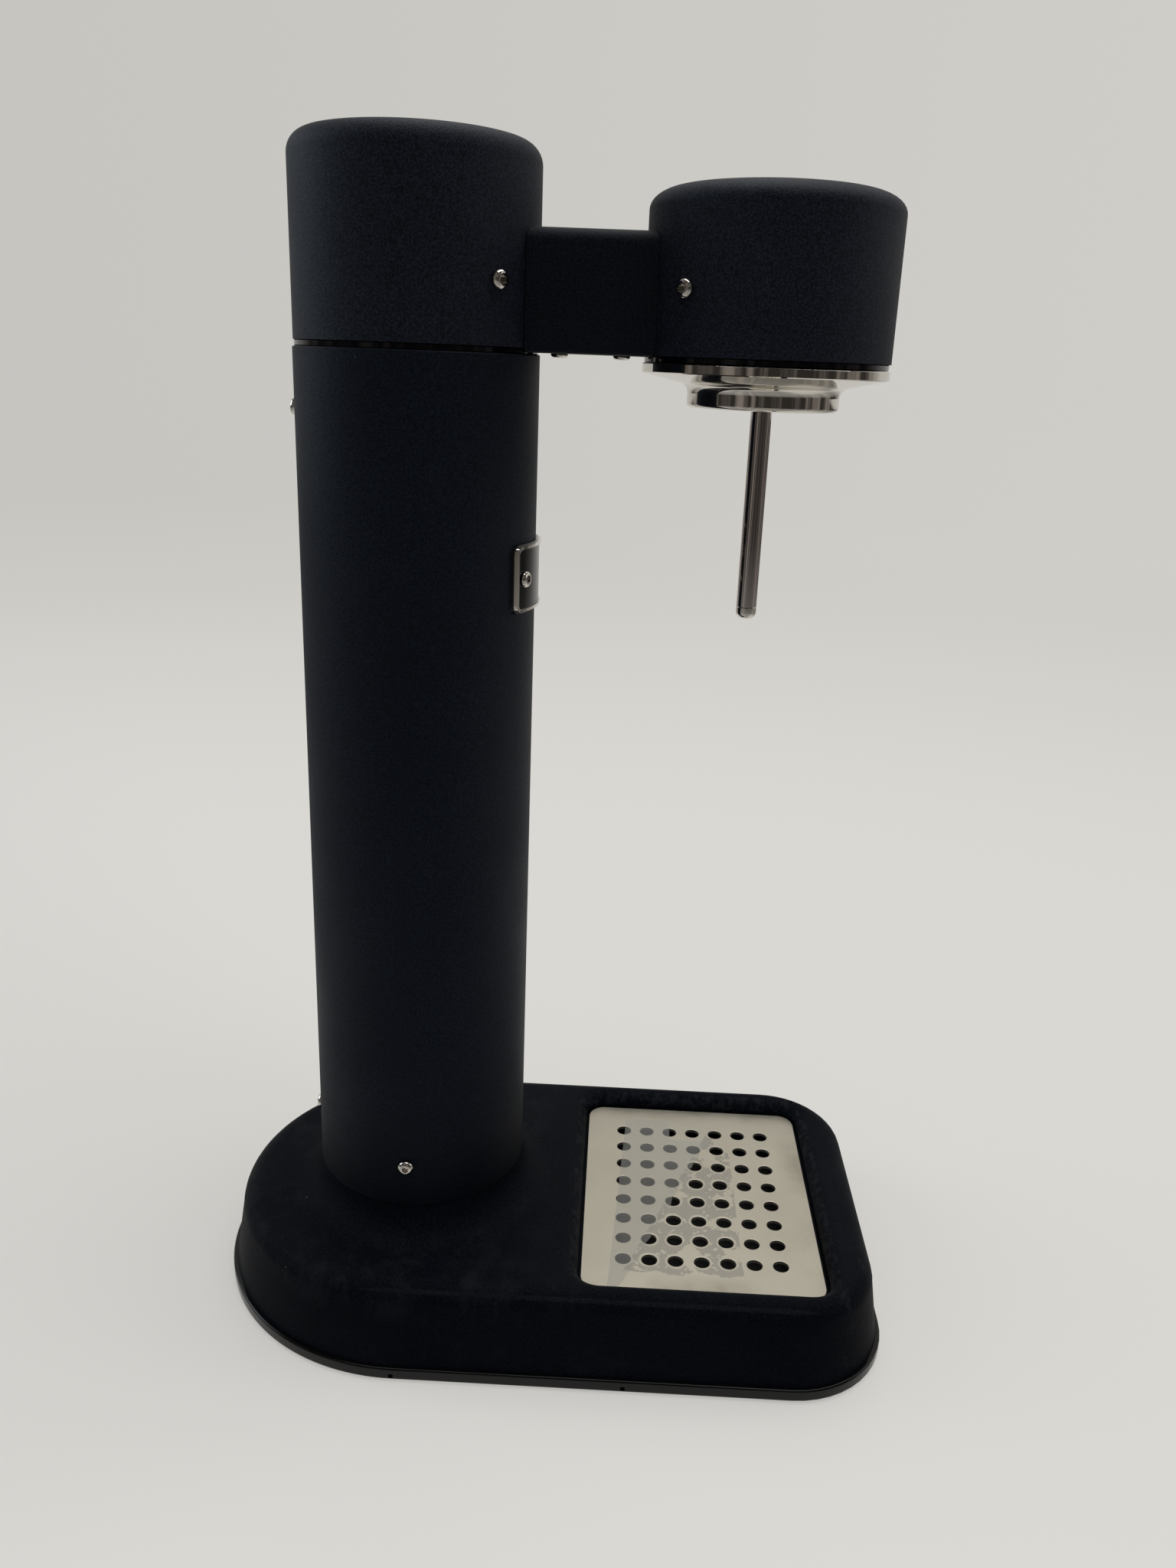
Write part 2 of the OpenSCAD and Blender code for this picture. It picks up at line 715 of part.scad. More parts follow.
// Curved slab on the tower's front with rounded corners, drawn in by a margin
module badge_slab(r0, r1, margin) {
    half_w = tower_r * sin(badge_arc / 2) - margin;
    half_h = badge_h / 2 - margin;
    corner = max(badge_corner_r - margin, 0.5);
    intersection() {
        translate([0, tower_y, 0]) tube(r1, r0, badge_z - badge_h / 2, badge_z + badge_h / 2);
        translate([0, tower_y, badge_z]) rotate([90, 0, 0]) linear_extrude(tower_r * 2) union() {
            square([2 * half_w, 2 * (half_h - corner)], center = true);
            square([2 * (half_w - corner), 2 * half_h], center = true);
            for (sx = [-1, 1], sy = [-1, 1])
                translate([sx * (half_w - corner), sy * (half_h - corner)]) circle(r = corner);
        }
    }
}

module badge_plate() color(gloss_black) difference() {
    badge_slab(tower_r + running, tower_r + badge_t + badge_lip, 0);
    badge_slab(tower_r + badge_t, tower_r + badge_t + badge_lip + over, badge_border);
    at_badge_screws() screw_bore(badge_screw, badge_t + over);
}

module badge_screws() color(steel)
    at_badge_screws() translate([0, 0, slip]) button_screw(badge_screw, badge_t + tower_wall);

module seam_ring() color(gloss_black)
    translate([0, tower_y, 0]) tube(tower_r - seam_inset, sleeve_ri, tower_top, cap_z);

// Cap

module lever_axis() translate([0, shaft_y, shaft_z]) children();

module beam_window(y) translate([-beam_side - window_slack, y - window_depth, beam_z - window_slack])
    cube([beam_w + 2 * window_slack, 2 * window_depth, beam_h + 2 * window_slack]);

module tower_cap() color(black) difference() {
    translate([0, tower_y, cap_z]) domed_shell(cap_r, cap_h, cap_wall, cap_top_t, cap_edge_r);
    lever_axis() rod_x(bush_r + slip, 0, cap_r + over);
    beam_window(tower_y - cap_r);
    at_cap_screws() screw_bore(tower_screw, cap_wall + over);
}

module cap_screws() color(steel) at_cap_screws() button_screw(tower_screw, cap_wall + screw_grip);

// Ring inside the tower's top that carries the valve frame
module frame_skirt() color(plastic) difference() {
    translate([0, tower_y, 0])
        tube(sleeve_ro, sleeve_ri, high_screw_z - skirt_below, tower_top - frame_plate_t);
    at_high_tower_screw() screw_bore(tower_screw, tower_wall + bore_depth);
}

// Chassis inside the tower's top and the cap: plate, two cheeks, screw bosses and the beam's pedestal
module valve_frame() color(plastic) difference() {
    union() {
        translate([0, tower_y, tower_top - frame_plate_t]) cylinder(r = sleeve_ro, h = frame_plate_t);
        intersection() {
            translate([0, tower_y, tower_top - over]) cylinder(r = frame_r, h = cap_h - cap_top_t);
            union() {
                for (x = [-cheek_x - cheek_t, cheek_x])
                    translate([x, tower_y - cheek_front, tower_top - over])
                        cube([cheek_t, cheek_front + cheek_rear, cheek_top - tower_top + over]);
                translate([-beam_side, tower_y - cap_ri, tower_top - over])
                    cube([beam_w, cap_ri + beam_rear_y - tower_y, beam_z - tower_top + over]);
            }
        }
        at_cap_screws() translate([0, 0, cap_boss_end - cap_r - cap_boss_l])
            cylinder(r = boss_r, h = cap_boss_l);
    }
    translate([0, tower_y, 0]) cylinder(r = block_d / 2 + slip, h = tower_top + over);
    lever_axis() rod_x(bush_r + slip, -tower_r, tower_r);
    at_cap_screws() screw_bore(tower_screw, cap_wall + bore_depth);
    at_block_screws() screw_bore(inner_screw, frame_plate_t + over);
    at_rear_beam_screws() screw_bore(inner_screw, screw_grip);
}

module at_block_screws() for (a = block_screw_angles)
    translate([0, tower_y, tower_top]) rotate([0, 0, a]) translate([0, block_screw_pcr, 0]) children();

module valve_block() color(brass) difference() {
    translate([0, tower_y, 0]) difference() {
        union() {
            translate([0, 0, block_z]) cylinder(d = block_d, h = tower_top - block_z);
            translate([0, 0, tower_top]) cylinder(d = block_flange_d, h = block_flange_t);
            translate([0, 0, tower_top]) cylinder(r = block_neck_r, h = block_top - tower_top);
        }
        translate([0, 0, block_z - over]) cylinder(d = socket_d, h = socket_l + over);
        translate([0, 0, socket_top - over]) cylinder(r = seal_pocket_r, h = socket_seal_t + over);
        translate([0, 0, chamber_z - over]) cylinder(r = chamber_r, h = chamber_h + over);
        cylinder(d = stem_d + 2 * running, h = block_top + over);
        translate([0, 0, gland_z]) cylinder(r = gland_r, h = gland_h + over);
        translate([0, 0, hose_z]) rod_y(port_r, -block_neck_r - over, 0);
    }
    at_block_screws() translate([0, 0, block_flange_t]) screw_bore(inner_screw, block_flange_t + over);
}

module valve_block_screws() color(steel) at_block_screws() translate([0, 0, block_flange_t])
    button_screw(inner_screw, block_flange_t + screw_grip);

module cylinder_seal() color(rubber)
    translate([0, tower_y, 0]) tube(seal_pocket_r - seal_fit, chamber_r, socket_top, chamber_z);

module stem_seal() color(rubber)
    translate([0, tower_y, 0]) tube(gland_r - seal_fit, stem_d / 2 + running, gland_z, block_top - seal_fit);

module plunger() color(steel) translate([0, tower_y, 0]) {
    translate([0, 0, stem_tip_z]) cylinder(d = stem_d, h = plunger_head_z - stem_tip_z + over);
    translate([0, 0, plunger_head_z]) cylinder(r = plunger_head_r, h = plunger_head_t);
}

module plunger_spring() color(steel) translate([0, tower_y, 0])
    helix(stem_d / 2 + spring_wire, spring_wire, spring_turns, block_top, plunger_head_z);

// Lever, its shaft and the cam finger

module lever_bar() {
    waist_r = lever_d / 2 - lever_waist;
    rotate([90 - lever_tilt, 0, 0]) rotate_extrude() polygon(concat(
        [[0, 0], [waist_r, 0], [waist_r, lever_hub_d / 2], [lever_d / 2, lever_l / 2]],
        arc(0, lever_l - lever_d / 2, lever_d / 2, 0, 90)));
}

module lever_hub() rotate([0, 90, 0]) rotate_extrude() polygon(concat(
    [[0, 0], [lever_hub_d / 2 - over, 0], [lever_hub_d / 2, over]],
    arc(lever_hub_d / 2 - lever_hub_edge, lever_hub_w - lever_hub_edge, lever_hub_edge, 0, 90),
    [[0, lever_hub_w]]));

module lever() color(steel) lever_axis() difference() {
    union() {
        translate([lever_x, 0, 0]) lever_hub();
        translate([lever_bar_x, 0, 0]) lever_bar();
    }
    rod_x(shaft_r + running, lever_x - over, shaft_x1);
    rod_x(inner_screw[2] + screw_bore_gap, 0, lever_x + lever_hub_w);
    rod_x(inner_screw[0] + slip, lever_x + lever_hub_w - lever_screw_sink, lever_x + lever_hub_w + over);
}

module lever_screw() color(steel) lever_axis() translate([lever_x + lever_hub_w - lever_screw_sink, 0, 0])
    rotate([0, 90, 0]) button_screw(inner_screw, lever_face + screw_grip);

module lever_shaft() color(steel) lever_axis() difference() {
    rod_x(shaft_r, shaft_x0, shaft_x1);
    rod_x(inner_screw[2] + screw_bore_gap, shaft_x1 - bore_depth - lever_face, shaft_x1 + over);
    translate([0, 0, -shaft_d]) cylinder(r = cam_pin_r + screw_bore_gap, h = 2 * shaft_d);
    translate([shaft_x0 + clip_end, 0, 0]) rotate([0, 90, 0])
        tube(shaft_r + over, shaft_r - clip_groove, 0, clip_t + slip);
}

module cam_finger() color(steel) lever_axis() difference() {
    union() {
        rod_x(finger_hub_r, -finger_w / 2, finger_w / 2);
        rotate([-half_swing, 0, 0]) {
            translate([-finger_w / 2, -cam_r, -finger_under]) cube([finger_w, cam_r, finger_under + nose_r]);
            translate([0, -cam_r, 0]) rod_x(nose_r, -finger_w / 2, finger_w / 2);
        }
    }
    rod_x(shaft_r + running, -finger_w, finger_w);
    translate([0, 0, -2 * finger_hub_r]) cylinder(r = cam_pin_r + screw_bore_gap, h = 4 * finger_hub_r);
}

module cam_pin() color(steel) lever_axis() translate([0, 0, cam_pin_end - finger_hub_r])
    cylinder(r = cam_pin_r, h = 2 * (finger_hub_r - cam_pin_end));

module shaft_bushes() color(plastic) lever_axis() for (s = [0, 1]) mirror([s, 0, 0]) difference() {
    union() {
        rod_x(bush_flange_r, cheek_x - bush_flange_t, cheek_x);
        rod_x(bush_r, cheek_x - bush_flange_t, cheek_x + cheek_t);
    }
    rod_x(shaft_r + running, cheek_x - 2 * bush_flange_t, cheek_x + cheek_t + over);
}

module lever_bush() color(plastic) lever_axis() difference() {
    rod_x(bush_r, cap_ri - bush_proud, cap_r - slip);
    rod_x(shaft_r + running, cap_ri - 2 * bush_proud, cap_r + over);
}

module shaft_clip() color(steel) lever_axis() translate([shaft_x0 + clip_end + slip / 2, 0, 0])
    rotate([0, 90, 0]) tube(clip_r, shaft_r - clip_groove + slip / 2, 0, clip_t);

// Arm

module arm_section(w, h, top_r, low_r) {
    translate([-w / 2, low_r]) square([w, h - low_r - top_r]);
    translate([-w / 2 + top_r, h - top_r - over]) square([w - 2 * top_r, top_r + over]);
    translate([-w / 2 + low_r, 0]) square([w - 2 * low_r, low_r + over]);
    for (s = [-1, 1]) {
        translate([s * (w / 2 - top_r), h - top_r]) circle(r = top_r);
        translate([s * (w / 2 - low_r), low_r]) circle(r = low_r);
    }
}

module at_arm_screws(z) for (s = [-1, 1])
    translate([0, (tower_y + head_y - cap_r + head_r) / 2 + s * arm_screw_gap / 2, z]) children();

module arm_cover() color(black) difference() {
    translate([0, tower_y, arm_z]) rotate([90, 0, 0]) linear_extrude(head_reach) difference() {
        arm_section(arm_w, arm_h, arm_edge_r, arm_low_r);
        translate([0, arm_wall]) arm_section(arm_w - 2 * arm_wall, arm_h - 2 * arm_wall,
                                             max(arm_edge_r - arm_wall, arm_inner_r), arm_inner_r);
    }
    translate([0, tower_y, 0]) cylinder(r = tower_r + slip / 2, h = tower_top + 2 * arm_h);
    translate([0, head_y, 0]) cylinder(r = head_r + slip / 2, h = tower_top + 2 * arm_h);
    at_arm_screws(arm_z + arm_wall) screw_bore(arm_screw, arm_wall + over);
}

module arm_screws() color(steel) at_arm_screws(arm_z) rotate([180, 0, 0])
    button_screw(arm_screw, beam_z + beam_t - arm_z);

module at_rear_beam_screws() for (s = [-1, 1])
    translate([s * beam_screw_x, beam_rear_y - beam_screw_end[0], beam_z]) children();
module at_front_beam_screws() for (s = [-1, 1])
    translate([s * beam_screw_x, beam_front_y + beam_screw_end[1], beam_z]) children();

// Channel from the valve frame to the manifold, with two bosses for the cover's screws
module arm_beam() color(steel) difference() {
    union() {
        translate([-beam_side, beam_front_y, beam_z]) cube([beam_w, beam_rear_y - beam_front_y, beam_h]);
        at_arm_screws(arm_z + arm_wall) cylinder(r = boss_r, h = beam_z + beam_t / 2 - arm_z - arm_wall);
    }
    translate([-beam_side + beam_t, beam_front_y - over, beam_z + beam_t])
        cube([beam_w - 2 * beam_t, beam_rear_y - beam_front_y + 2 * over, beam_h]);
    at_arm_screws(beam_z + beam_t) screw_bore(arm_screw, beam_h);
    at_rear_beam_screws() translate([0, 0, beam_t]) screw_bore(inner_screw, beam_t + over);
    at_front_beam_screws() translate([0, 0, beam_t]) screw_bore(inner_screw, beam_t + over);
}

module beam_screws() color(steel) {
    at_rear_beam_screws() translate([0, 0, beam_t]) button_screw(inner_screw, beam_t + screw_grip - over);
    at_front_beam_screws() translate([0, 0, beam_t]) button_screw(inner_screw, beam_t + manifold_t - over);
}

module valve_nipple() color(brass) translate([0, 0, hose_z]) difference() {
    union() {
        translate([0, tower_y, 0]) difference() {
            rod_y(fitting_r, -block_neck_r - fitting_l, 0);
            translate([0, 0, -block_neck_r]) cylinder(r = block_neck_r + seal_fit, h = 2 * block_neck_r);
        }
        rod_y(barb_r, hose_rear_y - barb_l, hose_rear_y + hose_end_gap + over);
    }
    rod_y(fitting_bore_r, hose_rear_y - barb_l - over, tower_y);
}

module gas_hose() color(rubber) translate([0, 0, hose_z]) difference() {
    rod_y(hose_d / 2, hose_front_y, hose_rear_y);
    rod_y(hose_bore / 2, hose_front_y - over, hose_rear_y + over);
}

module hose_ferrules() color(brass) translate([0, 0, hose_z])
    for (y = [hose_front_y + ferrule_end, hose_rear_y - ferrule_end - ferrule_l]) difference() {
        rod_y(hose_d / 2 + ferrule_t, y, y + ferrule_l);
        rod_y(hose_d / 2 + seal_fit, y - over, y + ferrule_l + over);
    }

module inlet_elbow() color(brass) difference() {
    union() {
        translate([0, head_y, manifold_z]) cylinder(r = elbow_r, h = hose_z - manifold_z + elbow_r);
        translate([0, 0, hose_z]) {
            rod_y(fitting_r, head_y, hose_front_y - hose_end_gap);
            rod_y(barb_r, head_y, hose_front_y + barb_l);
        }
    }
    translate([0, 0, hose_z]) rod_y(fitting_bore_r, head_y, hose_front_y + barb_l + over);
    translate([0, head_y, manifold_z - over]) cylinder(r = fitting_bore_r, h = hose_z - manifold_z + over);
}

// Head

module head_shell() color(black) difference() {
    translate([0, head_y, head_z]) domed_shell(head_r, head_h, head_wall, head_wall, head_edge_r);
    beam_window(head_y + head_r);
    at_head_screws() screw_bore(tower_screw, head_wall + over);
}

module head_screws() color(steel) at_head_screws() button_screw(tower_screw, head_wall + screw_grip);

module at_collar_screws() for (a = collar_screw_angles)
    translate([0, head_y, 0]) rotate([0, 0, a]) translate([0, -collar_screw_pcr, 0]) children();

module head_ring() color(gloss_black) difference() {
    translate([0, head_y, 0]) tube(head_r - ring_inset, mouth_d / 2 + 2 * over, collar_z, head_z);
    at_collar_screws() translate([0, 0, head_z]) screw_bore(inner_screw, ring_h + over);
}

// Plate that closes the head, with posts for the head's screws
module nozzle_manifold() color(plastic) difference() {
    union() {
        translate([0, head_y, head_z]) cylinder(r = head_ri - slip, h = manifold_t);
        translate([0, head_y, head_z + over]) intersection() {
            cylinder(r = head_ri - slip, h = post_h);
            for (s = [-1, 1]) rotate([0, 0, s * head_screw_angle])
                translate([-boss_r, head_ri - post_l, 0]) cube([2 * boss_r, post_l, post_h]);
        }
    }
    translate([0, head_y, head_z - over]) cylinder(r = nozzle_d / 2 + running, h = nozzle_seat + over);
    translate([0, head_y, head_z]) cylinder(r = fitting_bore_r, h = manifold_t + over);
    translate([relief_x, relief_y, head_z - over]) cylinder(r = vent_r, h = manifold_t + 2 * over);
    at_collar_screws() translate([0, 0, manifold_z]) screw_bore(inner_screw, manifold_t + over);
    at_front_beam_screws() screw_bore(inner_screw, manifold_t - over / 2);
    at_head_screws() screw_bore(tower_screw, head_wall + screw_grip + over);
}

// Hub under the manifold that guides the nozzle
module nozzle_hub() color(plastic)
    translate([0, head_y, 0]) tube(hub_r, nozzle_d / 2 + running, head_z - hub_h, head_z);

module collar_screws() color(steel) at_collar_screws() translate([0, 0, manifold_z])
    button_screw(inner_screw, manifold_z - collar_z + collar_screw_depth - over);

// Polished socket: bright band, sloped underside, fillet into the neck, bore with bayonet lugs
module bottle_collar() color(steel) difference() {
    translate([0, head_y, 0]) {
        neck_r = neck_d / 2;
        slope_r = neck_r + collar_fillet;
        slope_z = collar_z - band_h - collar_slope;
        rotate_extrude() polygon(concat(
            [[mouth_d / 2, collar_z], [head_r, collar_z], [head_r, collar_z - band_h], [slope_r, slope_z]],
            arc(slope_r, slope_z - collar_fillet, collar_fillet, 90, 180),
            arc(neck_r - neck_edge_r, collar_low + neck_edge_r, neck_edge_r, 0, -90),
            [[mouth_d / 2, collar_low]]));
        for (a = [0, 120, 240]) rotate([0, 0, a]) translate([0, 0, collar_low + neck_edge_r])
            rotate_extrude(angle = lug_angle) translate([mouth_d / 2 - lug_reach, 0])
                square([lug_reach + over, lug_h]);
    }
    at_collar_screws() translate([0, 0, collar_z]) screw_bore(inner_screw, collar_screw_depth);
}

module bottle_seal() color(rubber)
    translate([0, head_y, 0]) tube(mouth_d / 2 - slip, mouth_d / 2 - slip - seal_w, head_z - seal_t, head_z);

module nozzle_tube() color(steel)
    translate([0, head_y, 0]) tube(nozzle_d / 2, nozzle_bore / 2, tip_z + tip_l, head_z + nozzle_seat);

// Bright plug in the nozzle's end, with the gas orifice
module nozzle_tip() color(steel) translate([0, head_y, tip_z]) difference() {
    nozzle_r = nozzle_d / 2;
    union() {
        rotate_extrude() polygon(concat(
            [[0, 0]], arc(nozzle_r - tip_round_r, tip_round_r, tip_round_r, -90, 0),
            [[nozzle_r, tip_l], [0, tip_l]]));
        cylinder(r = nozzle_bore / 2 - running, h = tip_l + tip_plug_l);
    }
    translate([0, 0, -over]) cylinder(r = orifice_r, h = tip_l + tip_plug_l + 2 * over);
}

module nozzle_nut() color(steel) translate([0, head_y, head_z - hub_h - nut_h]) difference() {
    cylinder(r = hub_r, h = nut_h, $fn = 6);
    translate([0, 0, -over]) cylinder(r = nozzle_d / 2 + running, h = nut_h + 2 * over);
}

// Relief valve

module relief_body() color(brass) translate([relief_x, relief_y, manifold_z]) difference() {
    cylinder(d = relief_d, h = relief_h);
    translate([0, 0, relief_seat_t]) cylinder(d = poppet_d + 2 * running, h = relief_h);
    translate([0, 0, -over]) cylinder(r = vent_r, h = relief_h);
}

module relief_poppet() color(steel) translate([relief_x, relief_y, poppet_z]) {
    cylinder(d = poppet_d, h = poppet_h);
    cylinder(r = poppet_stem_r, h = relief_top - poppet_z - poppet_stem_drop);
}

module relief_spring() color(steel) translate([relief_x, relief_y, 0])
    helix(poppet_stem_r + relief_wire, relief_wire, spring_turns,
          poppet_z + poppet_h, relief_top - relief_cap_plug);

module relief_cap() color(brass) translate([relief_x, relief_y, relief_top]) difference() {
    union() {
        translate([0, 0, -relief_cap_plug]) cylinder(d = poppet_d - seal_fit, h = relief_cap_plug + over);
        cylinder(d = relief_d, h = relief_cap_h, $fn = 6);
    }
    translate([0, 0, -relief_cap_plug - over])
        cylinder(r = poppet_stem_r + seal_fit, h = relief_cap_plug + relief_cap_h + 2 * over);
}

base_shell();
base_plate();
base_plate_screws();
rubber_feet();
cylinder_guide();
drip_pan();
drip_grille();
tower_sleeve();
tower_tube();
tower_screws();
badge_plate();
badge_screws();
seam_ring();
tower_cap();
cap_screws();
frame_skirt();
valve_frame();
valve_block();
valve_block_screws();
cylinder_seal();
stem_seal();
plunger();
plunger_spring();
lever();
lever_screw();
lever_shaft();
cam_finger();
cam_pin();
shaft_bushes();
lever_bush();
shaft_clip();
arm_cover();
arm_screws();
arm_beam();
beam_screws();
valve_nipple();
gas_hose();
hose_ferrules();
inlet_elbow();
head_shell();
head_screws();
head_ring();
nozzle_manifold();
nozzle_hub();
collar_screws();
bottle_collar();
bottle_seal();
nozzle_tube();
nozzle_tip();
nozzle_nut();
relief_body();
relief_poppet();
relief_spring();
relief_cap();
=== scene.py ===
"""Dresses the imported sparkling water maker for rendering.

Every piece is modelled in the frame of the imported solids, in metres, and rides on one of their bodies.
"""

import json
import math

import bpy
from bpy.props import FloatProperty, FloatVectorProperty, PointerProperty
from mathutils import Matrix, Vector


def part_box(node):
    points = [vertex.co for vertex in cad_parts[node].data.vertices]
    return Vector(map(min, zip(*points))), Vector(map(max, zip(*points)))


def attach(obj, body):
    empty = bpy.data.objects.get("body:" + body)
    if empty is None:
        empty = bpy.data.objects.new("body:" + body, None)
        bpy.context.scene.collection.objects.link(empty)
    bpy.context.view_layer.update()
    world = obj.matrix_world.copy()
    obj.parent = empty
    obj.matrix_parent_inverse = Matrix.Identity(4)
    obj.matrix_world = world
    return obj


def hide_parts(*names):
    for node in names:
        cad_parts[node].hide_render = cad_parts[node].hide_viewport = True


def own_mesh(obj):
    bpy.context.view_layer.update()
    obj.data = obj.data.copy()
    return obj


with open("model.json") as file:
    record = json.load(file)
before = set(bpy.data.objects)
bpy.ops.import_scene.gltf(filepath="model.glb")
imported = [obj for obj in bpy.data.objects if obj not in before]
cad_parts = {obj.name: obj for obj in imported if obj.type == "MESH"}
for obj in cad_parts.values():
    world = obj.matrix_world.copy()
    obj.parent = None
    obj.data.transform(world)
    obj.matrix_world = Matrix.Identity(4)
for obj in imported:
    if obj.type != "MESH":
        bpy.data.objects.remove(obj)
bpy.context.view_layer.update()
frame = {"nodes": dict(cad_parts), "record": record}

bl_info = {
    "name": "Sparkling water maker",
    "version": (1, 0, 0),
    "blender": (4, 5, 0),
    "location": "View3D > Sidebar > Water maker",
    "description": "Models the pieces and finishes of a sparkling water maker round its packed solids",
    "category": "Add Mesh",
}

MM = 0.001
TURN = 2 * math.pi
MERGE = 0.00001
SLOTS = {part["node"]: part["material_slot"] for part in frame["record"]["subparts"]}


def low(node):
    """Lowest corner of a solid, in millimetres."""
    return Vector(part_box(node)[0]) / MM


def high(node):
    """Highest corner of a solid, in millimetres."""
    return Vector(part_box(node)[1]) / MM


def middle(node):
    """Centre of a solid's box, in millimetres."""
    return (low(node) + high(node)) / 2


TOWER_Y = middle("tower_tube").y
HEAD_Y = middle("head_shell").y
GRILLE_LOW = low("drip_grille")
GRILLE_HIGH = high("drip_grille")
GRILLE_Y = middle("drip_grille").y
TOWER_R = high("tower_tube").x
CAP_R = high("tower_cap").x
HEAD_R = high("head_shell").x
LEVER_AXIS = middle("lever_shaft")

# Finish of each material slot
FINISHES = {
    "powder_black": "powder_coat",
    "gloss_black": "gloss_coat",
    "polished_steel": "bright_steel",
    "dark_steel": "tube_steel",
    "satin_steel": "inner_steel",
    "brass": "turned_brass",
    "inner_plastic": "moulded_plastic",
    "soft_rubber": "matt_rubber",
}

# Tolerances, in millimetres: of a level, of a curved face, of a hidden wall and of one piece in another
ON_LEVEL = 0.01
ON_CURVE = 0.05
ON_WALL = 0.1
FIT = 0.04

# Places and sizes of details, in millimetres
SPARE = 5
RING_EDGE = 0.3
LARGE_CORNER = 50
RECESS_GAP = 1.2
RIM_SEAT = 6
BAY_R = 32.7
FEET = [(39, -117.5), (-39, -117.5), (65, -23.5), (-65, -23.5), (40, 103.7), (-40, 103.7)]
PLATE_SCREWS = [(57.4, -109.9), (-57.4, -109.9), (65, 40.5), (-65, 40.5), (0, 117.5)]
FOOT_RECESS_R = 7.2
FOOT_RECESS = 4
PLATE_SCREW_R = 3.4
PLATE_SCREW_RECESS = 4.6
NOTCHES = (52.5, -31)
NOTCH_HALF = 0.8
NOTCH_DEPTH = 1.6
NOTCH_LEVELS = (0.8, 2.4)
HOLES = (8, 7)
HOLE_PITCH = (11.8, 9.95)
GRILLE_BEVEL = 0.3
FILM_SHEET = 200
FILM_TEAR = ((-41.3, -34.5), (29.5, -63))
FILM_LEFT = ((57, -31), (-57.5, -23.9))
FILM_ENDS = (-57.8, 50)
FILM_NOTCH = (36, -49.5)
FILM_GAP = 0.05
FILM_FRAY = 1.3
FILM_THICK = 0.08
SEAM_BORE = 35.2
HEAD_RING_BORE = 21.5
BADGE_RISE = 1.8
BADGE_FIELD = 1.3
BADGE_FLANGE = 0.8
BADGE_STEP = 0.5
BADGE_CORNER = 3
BADGE_BEVEL = 0.2
BADGE_SCREW_ANGLE = 24
BADGE_SCREW_RISE = 0.2
CAP_SCREW_ANGLE = 43
HEAD_SCREW_ANGLE = 45.5
HEAD_SPREAD = 1.7
SHAFT_HOLE_R = 5.7
WINDOW_HALF = 13.1
WINDOW_REACH = 20
WINDOW_LEVELS = (356.4, 374.6)
ARM_WALL = 1.2
ARM_LOW_R = 1.4
ARM_GAP = 0.1
COLLAR_MOUTH_R = 20.5
COLLAR_NECK_R = 24.8
COLLAR_BAND = 3
COLLAR_SLOPE = 2.7
COLLAR_FILLET = 3.2
COLLAR_EDGE = 1.4
LUG_REACH = 1.9
LUG_H = 3
LUG_ANGLE = 40
NOZZLE_BORE_R = 2
NOZZLE_EDGE = 0.15
ORIFICE_R = 0.6
TIP_ROUND = 2.2
SHAFT_R = 4
LEVER_GRIP_R = 4.5
LEVER_NECK_R = 3.3
LEVER_TILT = 2
LEVER_EDGE = 3
LEVER_CHAMFER = 0.5
LEVER_SEAT = 2.2
LEVER_SEAT_GAP = 0.2
LEVER_BOLT_R = 1.5
LEVER_FACE = 5

# Screws: head radius, head height and shank radius
TOWER_SCREW = (3, 2.3, 1.75)
BADGE_SCREW = (2.7, 1.6, 1.2)
ARM_SCREW = (2.85, 1.4, 1.45)
INNER_SCREW = (2.6, 1.8, 1.4)

# Springs: wire, the joint that presses the spring and the side of its fixed end
SPRINGS = {
    "plunger_spring": (0.7, "plunger_press", "below"),
    "relief_spring": (0.6, "relief_lift", "above"),
}
SPRING_TURNS = 4
SPRING_GAP = 0.05

# Camera: place in millimetres, and angles
CAMERA_PLACE = (-426.68, -17.75, 350.31)
CAMERA_YAW = 0.02126
CAMERA_PITCH = 0.32918
CAMERA_ROLL = 0.03871
SENSOR = 36.0

# Stage: floor radius and lamps, in metres. Lamps have a place, a width and a colour
FLOOR_R = 9
LAMP_TARGET = (0.0, 0.0, 0.2)
LAMPS = {
    "top_lamp": ((0.3, -0.2, 1.7), 1.4, (1.0, 1.0, 1.0)),
    "side_lamp": ((0.2, -1.6, 0.9), 1.0, (1.0, 1.0, 1.0)),
    "rear_lamp": ((0.3, 1.6, 0.9), 1.0, (0.78, 0.9, 1.0)),
}
BLACK = (0.0, 0.0, 0.0, 1.0)


def length(name, description, value):
    """A length that a user can change, given in millimetres."""
    return FloatProperty(name=name, description=description, default=value * MM, min=0.0, unit="LENGTH")


def colour(name, description, value):
    """A linear colour that a user can change."""
    return FloatVectorProperty(name=name, description=description, default=value, min=0.0, max=1.0,
                               size=3, subtype="COLOR")


def share(name, description, value):
    """A number from 0 to 1 that a user can change."""
    return FloatProperty(name=name, description=description, default=value, min=0.0, max=1.0,
                         subtype="FACTOR")


def power(name, description, value):
    """A lamp's power that a user can change."""
    return FloatProperty(name=name, description=description, default=value, min=0.0, unit="POWER")


